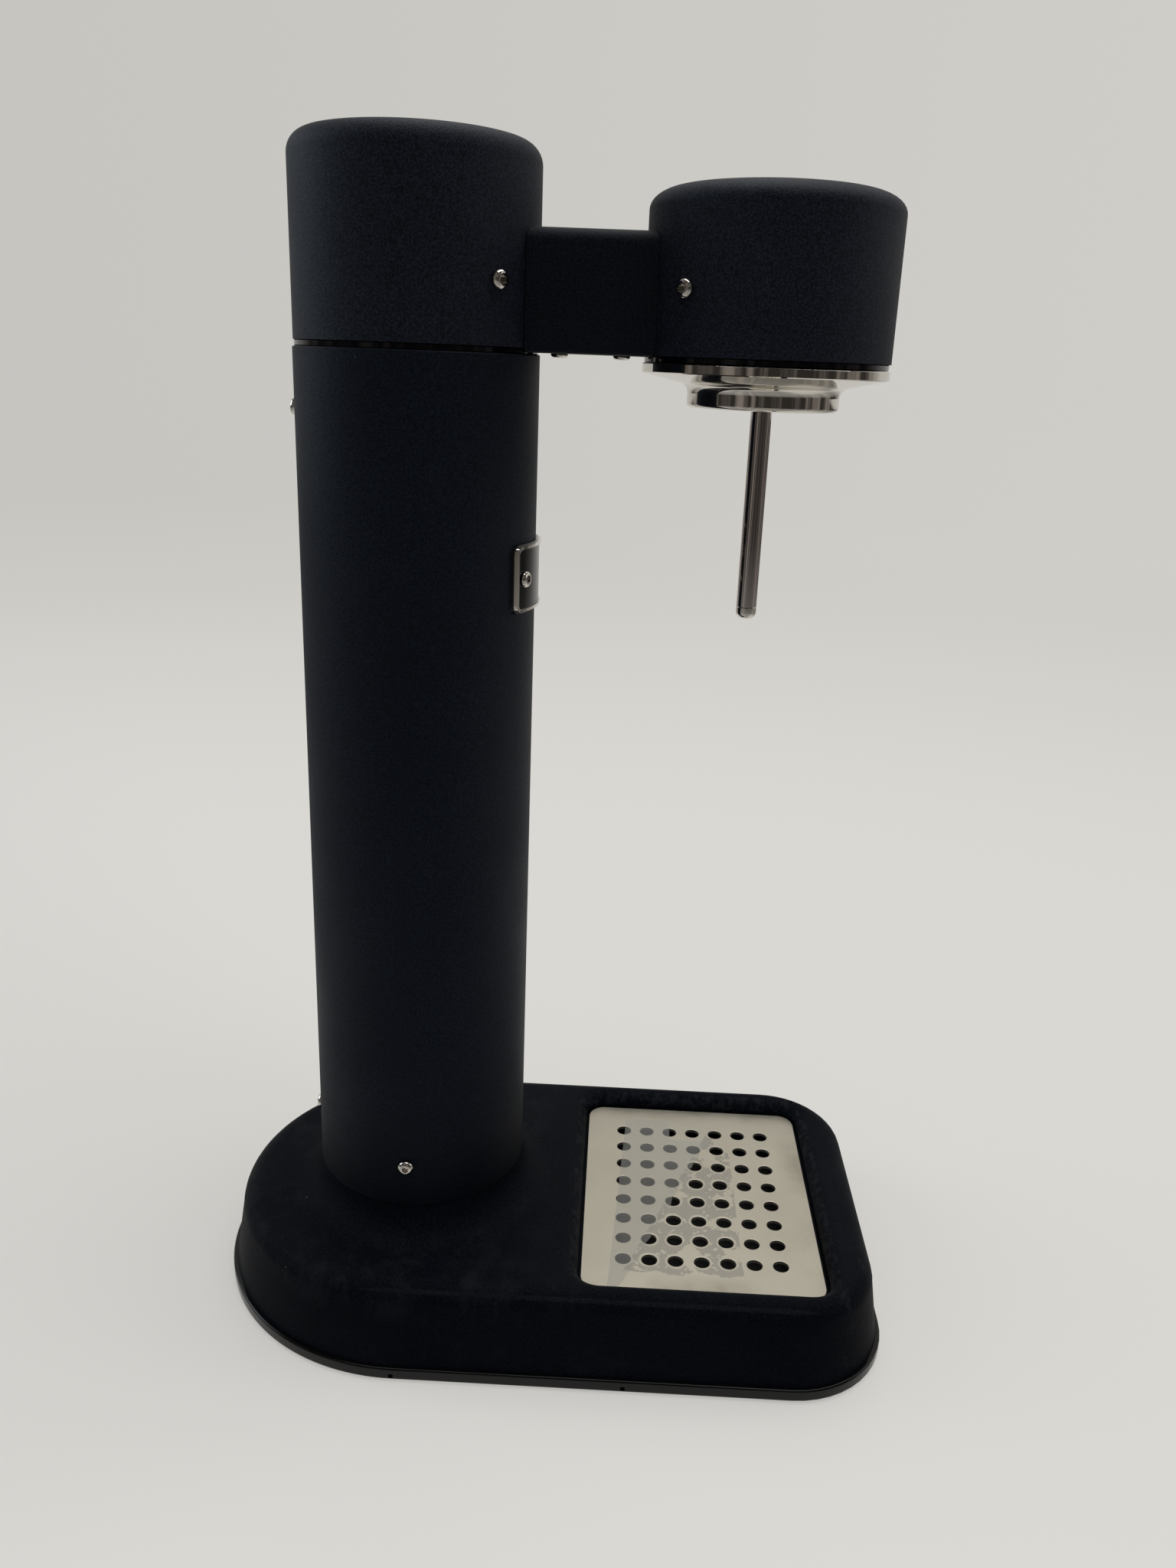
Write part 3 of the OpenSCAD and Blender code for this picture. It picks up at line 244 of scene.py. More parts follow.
class MachineSizes(bpy.types.PropertyGroup):
    """Roundings and walls that the solids' boxes don't give"""

    base_front_r: length("Front corners", "Radius of the casting's front corners", 35.8)
    base_draft: length("Draft", "How far the casting's sides lean in", 3.5)
    base_edge: length("Top edge", "Rounding of the casting's top edge", 8)
    base_top: length("Top face", "Height of the casting's top face", 36)
    lip: length("Recess lip", "Rounding of the lip round the grille", 6)
    ledge: length("Grille ledge", "Width of the ledge under the grille's edge", 3)
    flare: length("Tower flare", "Radius of the flare at the tower's foot", 12)
    wall: length("Casting wall", "Wall of the casting", 2)
    rim_bevel: length("Rim edge", "Rounding of the base rim's edges", 0.8)
    grille_corner: length("Grille corners", "Radius of the grille's corners", 7)
    grille_hole: length("Drain hole", "Diameter of a drain hole", 5.9)
    tower_wall: length("Tower wall", "Wall of the tower tube", 2)
    cap_edge: length("Cap edge", "Rounding of the cap's top edge", 6.8)
    head_edge: length("Head edge", "Rounding of the head's top edge", 6.5)
    shell_wall: length("Shell wall", "Wall of the cap and the head", 2.5)
    arm_edge: length("Arm edge", "Rounding of the arm's upper edges", 4.5)
    badge_border: length("Badge border", "Width of the badge's border", 1.5)


class MachineColours(bpy.types.PropertyGroup):
    """Colours of the finishes, and how worn they are"""

    powder: colour("Powder coat", "Blue-black powder coat", (0.0030, 0.0039, 0.0064))
    gloss: colour("Gloss black", "Glossy rings and base rim", (0.0025, 0.0025, 0.003))
    steel: colour("Polished steel", "Collar, nozzle tip, lever and screws", (0.64, 0.61, 0.56))
    dark_steel: colour("Dark steel", "Nozzle tube", (0.60, 0.555, 0.535))
    satin: colour("Satin steel", "Grille and inner steel parts", (0.50, 0.467, 0.385))
    brass: colour("Brass", "Valve block and fittings", (0.55, 0.38, 0.14))
    plastic: colour("Inner plastic", "Moulded inner parts", (0.009, 0.009, 0.010))
    rubber: colour("Rubber", "Feet, seals and hose", (0.012, 0.012, 0.012))
    film: colour("Film", "Torn protective film on the grille", (0.56, 0.55, 0.51))
    residue: colour("Residue", "Dried residue on the grille", (0.335, 0.315, 0.27))
    stain: colour("Stain", "Stains near the grille's edges", (0.30, 0.27, 0.21))
    dust: colour("Dust", "Dust and scuffs on the powder coat", (0.20, 0.20, 0.20))
    # The wear share also scales the pale line along the casting's top edge, which is partly a painted
    # highlight.
    wear: share("Wear", "How far the casting's edges are scuffed", 0.3)


class MachineStage(bpy.types.PropertyGroup):
    """Floor, backdrop and lamps"""

    floor: colour("Floor", "Colour of the floor", (0.74, 0.72, 0.68))
    room: colour("Room", "Colour of the room outside the backdrop, in reflections", (0.10, 0.089, 0.081))
    fill: colour("Fill", "Light of the room on the camera's side", (0.50, 0.53, 0.58))
    glow: share("Floor glow", "How far the floor near the object shows the backdrop's own level", 0.6)
    backdrop: colour("Backdrop", "Colour of the backdrop on its bright side", (0.625, 0.61, 0.58))
    backdrop_dim: colour("Dim backdrop", "Colour of the backdrop on its dim side", (0.57, 0.558, 0.53))
    top_lamp: power("Top lamp", "Power of the lamp overhead", 14.0)
    side_lamp: power("Side lamp", "Power of the lamp at the front of the tray", 3.0)
    rear_lamp: power("Rear lamp", "Power of the lamp behind the tower", 8.0)
    lens: FloatProperty(name="Lens", description="Focal length in millimetres", default=28.419,
                        min=1.0, subtype="DISTANCE_CAMERA")


def size(name):
    """One of the sizes, in millimetres."""
    return getattr(bpy.context.scene.machine_sizes, name) / MM


def tint(name):
    """One of the finishes' colours, with its alpha."""
    return (*getattr(bpy.context.scene.machine_colours, name), 1.0)


# Modelling by hand: each helper works on the active piece

def edit():
    """Goes to edit mode."""
    bpy.ops.object.mode_set(mode="EDIT")


def leave():
    """Goes to object mode."""
    bpy.ops.object.mode_set(mode="OBJECT")


def unselect():
    """Goes to object mode with nothing selected."""
    if bpy.context.object and bpy.context.object.mode != "OBJECT":
        leave()
    bpy.ops.object.select_all(action="DESELECT")


def take_all():
    """Selects every part of the active piece, in edit mode."""
    bpy.ops.mesh.select_all(action="SELECT")


def apply_place():
    """Keeps the place of the selected piece in its mesh."""
    bpy.ops.object.transform_apply(location=True, rotation=True, scale=True)


def only(piece):
    """Makes a piece the only one selected, and the active one."""
    unselect()
    piece.select_set(True)
    bpy.context.view_layer.objects.active = piece


def start(name, add, **settings):
    """Adds a primitive with nothing else selected, and settles it at the origin."""
    unselect()
    add(**settings)
    piece = bpy.context.active_object
    piece.name = name
    piece.data.name = name
    apply_place()
    return piece


def choose(kind, test):
    """Selects corners, edges or faces of the active piece whose corners all pass a test in millimetres."""
    mesh = bpy.context.active_object.data
    edit()
    bpy.ops.mesh.select_mode(type=kind)
    bpy.ops.mesh.select_all(action="DESELECT")
    leave()
    passed = [test(corner.co / MM) for corner in mesh.vertices]
    if kind == "VERT":
        for corner in mesh.vertices:
            corner.select = passed[corner.index]
    else:
        for part in mesh.edges if kind == "EDGE" else mesh.polygons:
            part.select = all(passed[index] for index in part.vertices)
    edit()


def tidy():
    """Merges doubled corners of the active piece and turns its faces outwards."""
    edit()
    bpy.ops.mesh.select_mode(type="VERT")
    take_all()
    bpy.ops.mesh.remove_doubles(threshold=MERGE)
    bpy.ops.mesh.normals_make_consistent(inside=False)
    leave()


def fill_ends(sides):
    """Closes the open ends of the active piece."""
    edit()
    take_all()
    bpy.ops.mesh.fill_holes(sides=sides)
    tidy()


def slit(spot, way, clear=False):
    """Cuts the active piece along a plane through a place in millimetres, or clears what is behind it."""
    edit()
    take_all()
    bpy.ops.mesh.bisect(plane_co=Vector(spot) * MM, plane_no=way, clear_inner=clear)
    leave()


def modify(piece, kind, **settings):
    """Adds a modifier to a piece and applies it."""
    only(piece)
    bpy.ops.object.modifier_add(type=kind)
    modifier = piece.modifiers[-1]
    for name, value in settings.items():
        setattr(modifier, name, value)
    bpy.ops.object.modifier_apply(modifier=modifier.name)


def carve(piece, cutter, operation="DIFFERENCE"):
    """Cuts a piece with another one, or joins the two into one skin, and removes the other."""
    modify(piece, "BOOLEAN", operation=operation, solver="EXACT", object=cutter)
    remove(cutter)


def joined(pieces):
    """Joins several pieces into the first."""
    only(pieces[0])
    for piece in pieces:
        piece.select_set(True)
    bpy.ops.object.join()
    return pieces[0]


def copy_at(piece, place):
    """A copy of a piece, with its own mesh, moved by a matrix in metres."""
    only(piece)
    bpy.ops.object.duplicate(linked=False)
    twin = bpy.context.active_object
    settle(twin, place)
    return twin


def settle(piece, place):
    """Moves a piece by a matrix in metres and keeps the place in its mesh."""
    only(piece)
    piece.matrix_world = place
    apply_place()


def remove(piece):
    """Deletes a helper piece."""
    bpy.data.meshes.remove(piece.data)


def smooth(piece, angle=35, weighted=True):
    """Shades a piece smoothly over soft edges, with the large faces kept flat."""
    only(piece)
    bpy.ops.object.shade_smooth_by_angle(angle=math.radians(angle))
    if weighted:
        modify(piece, "WEIGHTED_NORMAL", keep_sharp=True, weight=80)


def soften(piece, width, angle):
    """Rounds the edges of a piece that turn by more than an angle."""
    modify(piece, "BEVEL", width=width * MM, segments=2, limit_method="ANGLE",
           angle_limit=math.radians(angle))


def paint(piece, *finishes):
    """Gives a piece its finishes, and no others."""
    piece.data.materials.clear()
    for name in finishes:
        piece.data.materials.append(bpy.data.materials[name])


def dress(piece, finish_name, body, *nodes):
    """Gives a piece its finish and its body, and lets it stand for solids."""
    paint(piece, finish_name)
    claim(piece, body, *nodes)


def claim(piece, body, *nodes):
    """Rides a piece on its body, and lets it stand for solids."""
    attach(piece, body)
    if nodes:
        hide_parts(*nodes)


def arc(x, z, radius, start_angle, end_angle, steps=8):
    """Points of an arc in a profile, in degrees from the profile's outward axis."""
    angles = [start_angle + (end_angle - start_angle) * i / steps for i in range(steps + 1)]
    return [(x + radius * math.cos(math.radians(a)), z + radius * math.sin(math.radians(a))) for a in angles]


def drawn_line(name, points):
    """Draws a line of corners by extruding the first one from point to point, and stays in edit mode."""
    piece = start(name, bpy.ops.mesh.primitive_plane_add, size=MM, location=Vector(points[0]) * MM)
    edit()
    bpy.ops.mesh.select_mode(type="VERT")
    take_all()
    bpy.ops.mesh.merge(type="CENTER")
    for here, there in zip(points, points[1:]):
        way = (Vector(there) - Vector(here)) * MM
        bpy.ops.mesh.extrude_vertices_move(TRANSFORM_OT_translate={"value": way})
    return piece


def turned(name, y, profile, steps=96, sweep=TURN):
    """Spins a profile of (radius, height) points about an upright axis at x 0."""
    piece = drawn_line(name, [(radius, y, z) for radius, z in profile])
    take_all()
    bpy.ops.mesh.spin(steps=steps, angle=-sweep, center=(0, y * MM, 0), axis=(0, 0, 1))
    tidy()
    return piece


def make_ring(name, solid, y, bore, finish_name, edge=RING_EDGE, steps=128):
    """A turned ring with small bevelled edges that stands for a round solid."""
    outer = high(solid).x
    z0 = low(solid).z
    z1 = high(solid).z
    piece = turned(name, y, [
        (bore, z0), (outer - edge, z0), (outer, z0 + edge), (outer, z1 - edge), (outer - edge, z1),
        (bore, z1), (bore, z0)], steps)
    smooth(piece)
    dress(piece, finish_name, "body", solid)


def drum(name, radius, place, depth, axis="Z", steps=96):
    """A round cutter about a place, in millimetres, along an axis."""
    turn = {"X": (0, TURN / 4, 0), "Y": (TURN / 4, 0, 0), "Z": (0, 0, 0)}[axis]
    return start(name, bpy.ops.mesh.primitive_cylinder_add, vertices=steps, radius=radius * MM,
                 depth=depth * MM, location=Vector(place) * MM, rotation=turn)


def brick(name, low_corner, high_corner):
    """A square cutter between two corners, in millimetres."""
    low_corner = Vector(low_corner)
    high_corner = Vector(high_corner)
    centre = (low_corner + high_corner) / 2 * MM
    piece = start(name, bpy.ops.mesh.primitive_cube_add, size=MM, location=centre)
    edit()
    take_all()
    bpy.ops.transform.resize(value=high_corner - low_corner, center_override=centre)
    leave()
    return piece


def rounded_plate(name, width, y0, y1, front_r, rear_r, z, steps=12):
    """A flat plate with rounded corners, centred across, and stays in edit mode with its face selected."""
    centre = Vector((0, (y0 + y1) / 2, z)) * MM
    piece = start(name, bpy.ops.mesh.primitive_plane_add, size=MM, location=centre)
    edit()
    take_all()
    bpy.ops.transform.resize(value=(width, y1 - y0, 1), center_override=centre)
    for radius, at_front in ((front_r, True), (rear_r, False)):
        count = steps if radius < LARGE_CORNER else 3 * steps
        choose("VERT", lambda co: (co.y < y0 + ON_LEVEL) if at_front else (co.y > y1 - ON_LEVEL))
        bpy.ops.mesh.bevel(offset=radius * MM, segments=count, affect="VERTICES", profile=0.5,
                           clamp_overlap=False)
    bpy.ops.mesh.select_mode(type="VERT")
    take_all()
    bpy.ops.mesh.remove_doubles(threshold=MERGE)
    bpy.ops.mesh.select_mode(type="FACE")
    take_all()
    return piece


def lift(height):
    """Extrudes the selected faces straight up, or down."""
    bpy.ops.mesh.extrude_region_move(TRANSFORM_OT_translate={"value": (0, 0, height * MM)})


def step_in(points):
    """Insets the selected face along (inset, height) points, each from the one before."""
    for here, there in zip(points, points[1:]):
        bpy.ops.mesh.inset(thickness=(there[0] - here[0]) * MM, depth=(there[1] - here[1]) * MM,
                           use_even_offset=True)


def close_below(z):
    """Fills the open outline at a height with one face, and leaves edit mode."""
    choose("EDGE", lambda co: abs(co.z - z) < ON_LEVEL)
    bpy.ops.mesh.edge_face_add()
    tidy()


def outward(angle):
    """Direction at an angle counted from the front."""
    return Vector((math.sin(math.radians(angle)), -math.cos(math.radians(angle)), 0))


def at(*spot):
    """Matrix that moves to a place, in millimetres."""
    return Matrix.Translation(Vector(spot) * MM)


def on_wall(y, radius, z, angle):
    """Matrix that puts +Z outwards on a round wall."""
    way = outward(angle)
    return at(*(Vector((0, y, z)) + way * radius)) @ way.to_track_quat("Z", "Y").to_matrix().to_4x4()


# Shader nodes

def node(tree, kind, inputs=None, **settings):
    """Adds a shader node, sets its options and its inputs, and links the inputs that are sockets."""
    made = tree.nodes.new("ShaderNode" + kind)
    for name, value in settings.items():
        setattr(made, name, value)
    for name, value in (inputs or {}).items():
        if isinstance(value, bpy.types.NodeSocket):
            tree.links.new(value, made.inputs[name])
        else:
            made.inputs[name].default_value = value
    return made


def maths(tree, operation, first, second=0.0, clamp=False):
    """Result of a maths node."""
    return node(tree, "Math", {0: first, 1: second}, operation=operation, use_clamp=clamp).outputs[0]


def times(tree, first, second, clamp=False):
    """Product of two values."""
    return maths(tree, "MULTIPLY", first, second, clamp)


def plus(tree, first, second):
    """Sum of two values."""
    return maths(tree, "ADD", first, second)


def minus(tree, first, second, clamp=False):
    """Difference of two values."""
    return maths(tree, "SUBTRACT", first, second, clamp)


def larger(tree, first, second):
    """The larger of two values."""
    return maths(tree, "MAXIMUM", first, second)


def ramp(tree, value, start_value, end_value, low_out=0.0, high_out=1.0):
    """A value smoothly mapped from one range to another."""
    return node(tree, "MapRange", {"Value": value, "From Min": start_value, "From Max": end_value,
                                   "To Min": low_out, "To Max": high_out},
                interpolation_type="SMOOTHSTEP").outputs[0]


def mixed(tree, factor, first, second):
    """Colour between two colours."""
    return node(tree, "Mix", {0: factor, 6: first, 7: second}, data_type="RGBA").outputs[2]


def scaled(level, shade):
    """A colour made brighter or darker."""
    return tuple(level * part for part in shade[:3]) + (1.0,)


def place_of(tree):
    """Object coordinates of the shaded point."""
    return node(tree, "TexCoord").outputs["Object"]


def sides_of(tree, vector):
    """The X, Y and Z of a vector."""
    return node(tree, "SeparateXYZ", {"Vector": vector}).outputs


def effect(name, inputs, outputs):
    """Starts a node group with number inputs and outputs."""
    tree = bpy.data.node_groups.new(name, "ShaderNodeTree")
    for label, value in inputs.items():
        tree.interface.new_socket(label, in_out="INPUT", socket_type="NodeSocketFloat").default_value = value
    for label in outputs:
        tree.interface.new_socket(label, in_out="OUTPUT", socket_type="NodeSocketFloat")
    return tree, tree.nodes.new("NodeGroupInput").outputs, tree.nodes.new("NodeGroupOutput").inputs


def use(tree, name, **inputs):
    """Places a node group in a material, with its own values."""
    made = tree.nodes.new("ShaderNodeGroup")
    made.node_tree = bpy.data.node_groups[name]
    for label, value in inputs.items():
        made.inputs[label].default_value = value
    return made.outputs


def make_effects():
    """Builds the effects that several finishes share."""
    tree, given, out = effect("fine_grain", {"Scale": 2200.0}, ["Height", "Mottle"])
    here = place_of(tree)
    grain = node(tree, "TexNoise", {"Vector": here, "Scale": given["Scale"], "Detail": 2.0,
                                    "Roughness": 0.6})
    broad = node(tree, "TexNoise", {"Vector": here, "Scale": 28.0, "Detail": 3.0})
    tree.links.new(grain.outputs["Fac"], out["Height"])
    tree.links.new(broad.outputs["Fac"], out["Mottle"])

    tree, given, out = effect("dust_specks", {"Scale": 240.0, "Size": 0.1, "Amount": 0.2}, ["Mask"])
    cells = node(tree, "TexVoronoi", {"Vector": place_of(tree), "Scale": given["Scale"]})
    chance = node(tree, "SeparateColor", {"Color": cells.outputs["Color"]})
    reach = times(tree, given["Size"], chance.outputs["Green"])
    dot = minus(tree, 1.0, maths(tree, "DIVIDE", cells.outputs["Distance"], reach), True)
    kept = maths(tree, "LESS_THAN", chance.outputs["Red"], given["Amount"])
    tree.links.new(times(tree, dot, kept), out["Mask"])

    tree, given, out = effect("scuffs", {"Scale": 60.0, "Stretch": 6.0, "Cover": 0.5}, ["Mask"])
    spread = node(tree, "CombineXYZ", {"X": 1.0, "Y": 1.0, "Z": given["Stretch"]})
    pulled = node(tree, "Mapping", {"Vector": place_of(tree), "Scale": spread.outputs[0]})
    noise = node(tree, "TexNoise", {"Vector": pulled.outputs[0], "Scale": given["Scale"], "Detail": 5.0,
                                    "Roughness": 0.7})
    edge = minus(tree, 0.75, times(tree, given["Cover"], 0.35))
    over = minus(tree, noise.outputs["Fac"], edge)
    tree.links.new(times(tree, over, 9.0, True), out["Mask"])

    tree, given, out = effect("smudge", {"Scale": 22.0, "Low": 0.3, "High": 0.5}, ["Roughness"])
    noise = node(tree, "TexNoise", {"Vector": place_of(tree), "Scale": given["Scale"], "Detail": 4.0})
    value = node(tree, "MapRange", {"Value": noise.outputs["Fac"], "From Min": 0.35, "From Max": 0.68,
                                    "To Min": given["Low"], "To Max": given["High"]})
    tree.links.new(value.outputs[0], out["Roughness"])

    tree, given, out = effect("water_marks", {"Scale": 45.0, "Sharpness": 4.0}, ["Mask"])
    noise = node(tree, "TexNoise", {"Vector": place_of(tree), "Scale": given["Scale"], "Detail": 6.0,
                                    "Roughness": 0.65})
    stain = minus(tree, noise.outputs["Fac"], 0.5)
    tree.links.new(times(tree, stain, given["Sharpness"], True), out["Mask"])


def finish(name):
    """Starts a finish and returns its tree and its shader."""
    material = bpy.data.materials.new(name)
    if material.name != name:
        raise RuntimeError("a material of the solids is already called " + name)
    material.use_nodes = True
    tree = material.node_tree
    return tree, tree.nodes["Principled BSDF"]


def feed(tree, shader, **values):
    """Links values to the shader's colour, roughness or other inputs."""
    for name, value in values.items():
        tree.links.new(value, shader.inputs[name.replace("_", " ")])


def bump(tree, shader, height, strength, distance):
    """Raises the surface by a height."""
    made = node(tree, "Bump", {"Height": height, "Strength": strength, "Distance": distance * MM})
    feed(tree, shader, Normal=made.outputs[0])


def smudged(tree, scale, low_rough, high_rough):
    """Roughness that varies between two values."""
    return use(tree, "smudge", Scale=scale, Low=low_rough, High=high_rough)["Roughness"]


def scuffed(tree, mask, scale, cover, stretch=1.0):
    """A mask broken up by scuffs."""
    return times(tree, mask, use(tree, "scuffs", Scale=scale, Stretch=stretch, Cover=cover)["Mask"])


def make_powder(name, dust, specks, depth, gloss):
    """Fine-grained matte powder coat with a little dust, and returns its colour for more wear; its depth
    makes lighter and darker copies as painted light and shade.
    """
    tree, shader = finish(name)
    grain = use(tree, "fine_grain", Scale=1700.0)
    dots = use(tree, "dust_specks", Scale=210.0, Size=0.1, Amount=specks)
    haze = use(tree, "scuffs", Scale=30.0, Stretch=1.0, Cover=dust)
    # Painted light and shade: the depth makes a lighter or darker copy of the one powder colour for each
    # part.
    dark = tuple(level * part for level, part in zip(depth, tint("powder"))) + (1.0,)
    sand = ramp(tree, grain["Height"], 0.36, 0.68)
    patches = ramp(tree, grain["Mottle"], 0.2, 0.8, 0.65, 0.9)
    coat = mixed(tree, times(tree, sand, patches), dark, scaled(5.0, dark))
    dusty = mixed(tree, times(tree, haze["Mask"], 0.012), coat, tint("dust"))
    speckled = mixed(tree, times(tree, dots["Mask"], 0.55), dusty, tint("dust"))
    feed(tree, shader, Base_Color=speckled, Roughness=smudged(tree, 18.0, 0.56, 0.66))
    shader.inputs["Specular IOR Level"].default_value = gloss
    shader.inputs["Specular Tint"].default_value = (0.80, 0.91, 1.0, 1.0)
    bump(tree, shader, grain["Height"], 0.8, 0.16)
    return tree, shader, speckled


def band(tree, axis, start_value, end_value, soft):
    """Mask between two places along an object axis, in millimetres, with soft ends."""
    value = sides_of(tree, place_of(tree))[axis]
    rise = ramp(tree, value, (start_value - soft) * MM, start_value * MM)
    fall = ramp(tree, value, end_value * MM, (end_value + soft) * MM, 1.0, 0.0)
    return times(tree, rise, fall)


def make_tower_finish():
    """Powder coat of the tower: a darker, bluer copy of the powder coat as painted shade, with more painted
    shade towards its foot by the dark base.
    """
    tree, shader, coat = make_powder("tower_coat", 0.4, 0.07, (0.62, 0.69, 0.84), 0.16)
    height = sides_of(tree, place_of(tree))["Z"]
    # Painted shade near the dark base: the coat is mixed towards black, by 0.6 at 40 mm and by nothing from
    # 100 mm up.
    foot = ramp(tree, height, 40 * MM, 100 * MM, 0.6, 0.0)
    feed(tree, shader, Base_Color=mixed(tree, foot, coat, BLACK))


def make_casting_finish():
    """Powder coat of the base, darker partly as its own blacker coat and partly as painted shade, with pale
    rubbing along its edges, a pale line along its top edge that is part scuff and part painted highlight,
    and dust on the recess's lip.
    """
    # Partly painted shade: the casting's copy of the powder coat is far darker than the cap's, for a blacker
    # coat and for the shade on the low base.
    tree, shader, coat = make_powder("casting_coat", 0.55, 0.16, (0.35, 0.35, 0.36), 0.048)
    wear = bpy.context.scene.machine_colours.wear
    shoulder = times(tree, band(tree, "Z", 26, 34.5, 5), band(tree, "Y", 20, 140, 30))
    left = times(tree, band(tree, "X", -90, -25, 10), shoulder)
    nicks = times(tree, left, use(tree, "dust_specks", Scale=90.0, Size=0.4, Amount=0.12)["Mask"])
    rubbed = larger(tree, scuffed(tree, shoulder, 70.0, 0.75, 0.35), times(tree, nicks, 8.0))
    # Partly painted highlight: a thin pale line along the middle of the rounded top edge, where it catches
    # the light, which is also scuffed there.
    rim = times(tree, band(tree, "Z", 33.3, 34.5, 0.5), band(tree, "X", -70.2, -68.6, 0.6))
    front = times(tree, band(tree, "Y", -140, -106, 8), band(tree, "X", -90, -38, 10))
    round_lip = times(tree, band(tree, "X", -64, 64, 1), band(tree, "Y", -111, -8, 1))
    lip = times(tree, round_lip, band(tree, "Z", 31, 35.2, 0.5))
    marks = times(tree, rubbed, 0.06)
    spots = ((rim, 420.0, 1.2, 0.07), (front, 120.0, 0.5, 0.1), (lip, 260.0, 0.8, 0.12))
    for mask, scale, cover, strength in spots:
        marks = larger(tree, marks, times(tree, scuffed(tree, mask, scale, cover), strength))
    feed(tree, shader, Base_Color=mixed(tree, times(tree, marks, wear), coat, tint("dust")))


def make_gloss(name, low_rough, high_rough, specks):
    """Smooth glossy black with faint smears and dust."""
    tree, shader = finish(name)
    dots = use(tree, "dust_specks", Scale=260.0, Size=0.07, Amount=specks)
    base = mixed(tree, times(tree, dots["Mask"], 0.4), tint("gloss"), tint("dust"))
    feed(tree, shader, Base_Color=base, Roughness=smudged(tree, 35.0, low_rough, high_rough))
    shader.inputs["Specular IOR Level"].default_value = 0.28


def make_metal(name, colour_name, low_rough, high_rough, marks=0.1, grain=0.0):
    """Bare metal with faint marks, and fine turning grain where wanted."""
    tree, shader = finish(name)
    stain = use(tree, "water_marks", Scale=60.0, Sharpness=3.0)
    bright = tint(colour_name)
    base = mixed(tree, times(tree, stain["Mask"], marks), bright, scaled(0.8, bright))
    feed(tree, shader, Base_Color=base, Roughness=smudged(tree, 40.0, low_rough, high_rough))
    shader.inputs["Metallic"].default_value = 1.0
    if grain:
        bump(tree, shader, use(tree, "fine_grain", Scale=3000.0)["Height"], grain, 0.05)


def make_soft(name, colour_name, roughness, grain_scale):
    """Moulded plastic or rubber with a fine grain."""
    tree, shader = finish(name)
    grain = use(tree, "fine_grain", Scale=grain_scale)
    dark = tint(colour_name)
    base = mixed(tree, grain["Mottle"], dark, scaled(1.4, dark))
    feed(tree, shader, Base_Color=base, Roughness=smudged(tree, 30.0, roughness - 0.06, roughness + 0.06))
    bump(tree, shader, grain["Height"], 0.2, 0.1)


def in_cell(tree, value, pitch):
    """Place within a row of cells, from the middle of each."""
    cell = maths(tree, "FRACT", maths(tree, "DIVIDE", value, pitch * MM))
    return times(tree, minus(tree, cell, 0.5), pitch * MM)


def residue_mask(tree, here, x, y):
    """Dried residue beside the film: ragged along its edges, and worn off in flakes and round the holes."""
    wobble = node(tree, "TexNoise", {"Vector": here, "Scale": 130.0, "Detail": 4.0, "Roughness": 0.6})
    shift = times(tree, minus(tree, wobble.outputs["Fac"], 0.5), 9 * MM)
    far_end = ramp(tree, plus(tree, x, shift), 28 * MM, 31 * MM, -75.0 * MM, -68.0 * MM)
    ragged = times(tree, shift, ramp(tree, x, 20 * MM, 30 * MM, 0.15, 0.8))
    past = minus(tree, plus(tree, y, ragged), far_end)
    (x0, y0), (x1, y1) = FILM_TEAR
    slope = (y1 - y0) / (x1 - x0)
    torn = plus(tree, times(tree, minus(tree, x, x0 * MM), slope), y0 * MM)
    uncovered = ramp(tree, minus(tree, y, torn), 1.5 * MM, 2.5 * MM, 1.0, 0.0)
    beside = times(tree, ramp(tree, past, 0.0, 0.4 * MM), uncovered)
    ends = plus(tree, maths(tree, "ABSOLUTE", x), shift)
    inside = times(tree, ramp(tree, ends, 48.2 * MM, 48.8 * MM, 1.0, 0.0), beside)
    across = in_cell(tree, x, HOLE_PITCH[0])
    along = in_cell(tree, minus(tree, y, (GRILLE_Y - HOLE_PITCH[1] / 2) * MM), HOLE_PITCH[1])
    reach = node(tree, "CombineXYZ", {"X": across, "Y": along})
    hole = node(tree, "VectorMath", {0: reach.outputs[0]}, operation="LENGTH").outputs["Value"]
    rims = ramp(tree, plus(tree, hole, times(tree, shift, 0.25)), 3.7 * MM, 4.1 * MM, 1.0, 0.0)
    flakes = node(tree, "TexNoise", {"Vector": here, "Scale": 62.0, "Detail": 5.0, "Roughness": 0.55})
    flecks = node(tree, "TexNoise", {"Vector": here, "Scale": 420.0, "Detail": 2.0})
    worn_off = larger(tree, ramp(tree, flakes.outputs["Fac"], 0.55, 0.57),
                      ramp(tree, flecks.outputs["Fac"], 0.62, 0.65))
    return times(tree, inside, minus(tree, 1.0, larger(tree, rims, worn_off)))


def make_grille_finish():
    """Satin steel plate with a dried residue beside the film, stains near its edges and fine grain."""
    tree, shader = finish("grille_steel")
    here = place_of(tree)
    parts = sides_of(tree, here)
    x = parts["X"]
    y = parts["Y"]
    residue = residue_mask(tree, here, x, y)
    border = larger(tree, ramp(tree, y, -93 * MM, -103 * MM),
                    ramp(tree, maths(tree, "ABSOLUTE", x), 46 * MM, 56 * MM))
    stains = times(tree, border, use(tree, "water_marks", Scale=26.0, Sharpness=4.5)["Mask"])
    dried = mixed(tree, times(tree, residue, 0.95), tint("satin"), tint("residue"))
    base = mixed(tree, times(tree, stains, 0.7), dried, tint("stain"))
    rough = plus(tree, smudged(tree, 60.0, 0.31, 0.38), times(tree, residue, 0.12))
    feed(tree, shader, Base_Color=base, Roughness=rough)
    shader.inputs["Metallic"].default_value = 0.85
    bump(tree, shader, use(tree, "fine_grain", Scale=2600.0)["Height"], 0.05, 0.06)


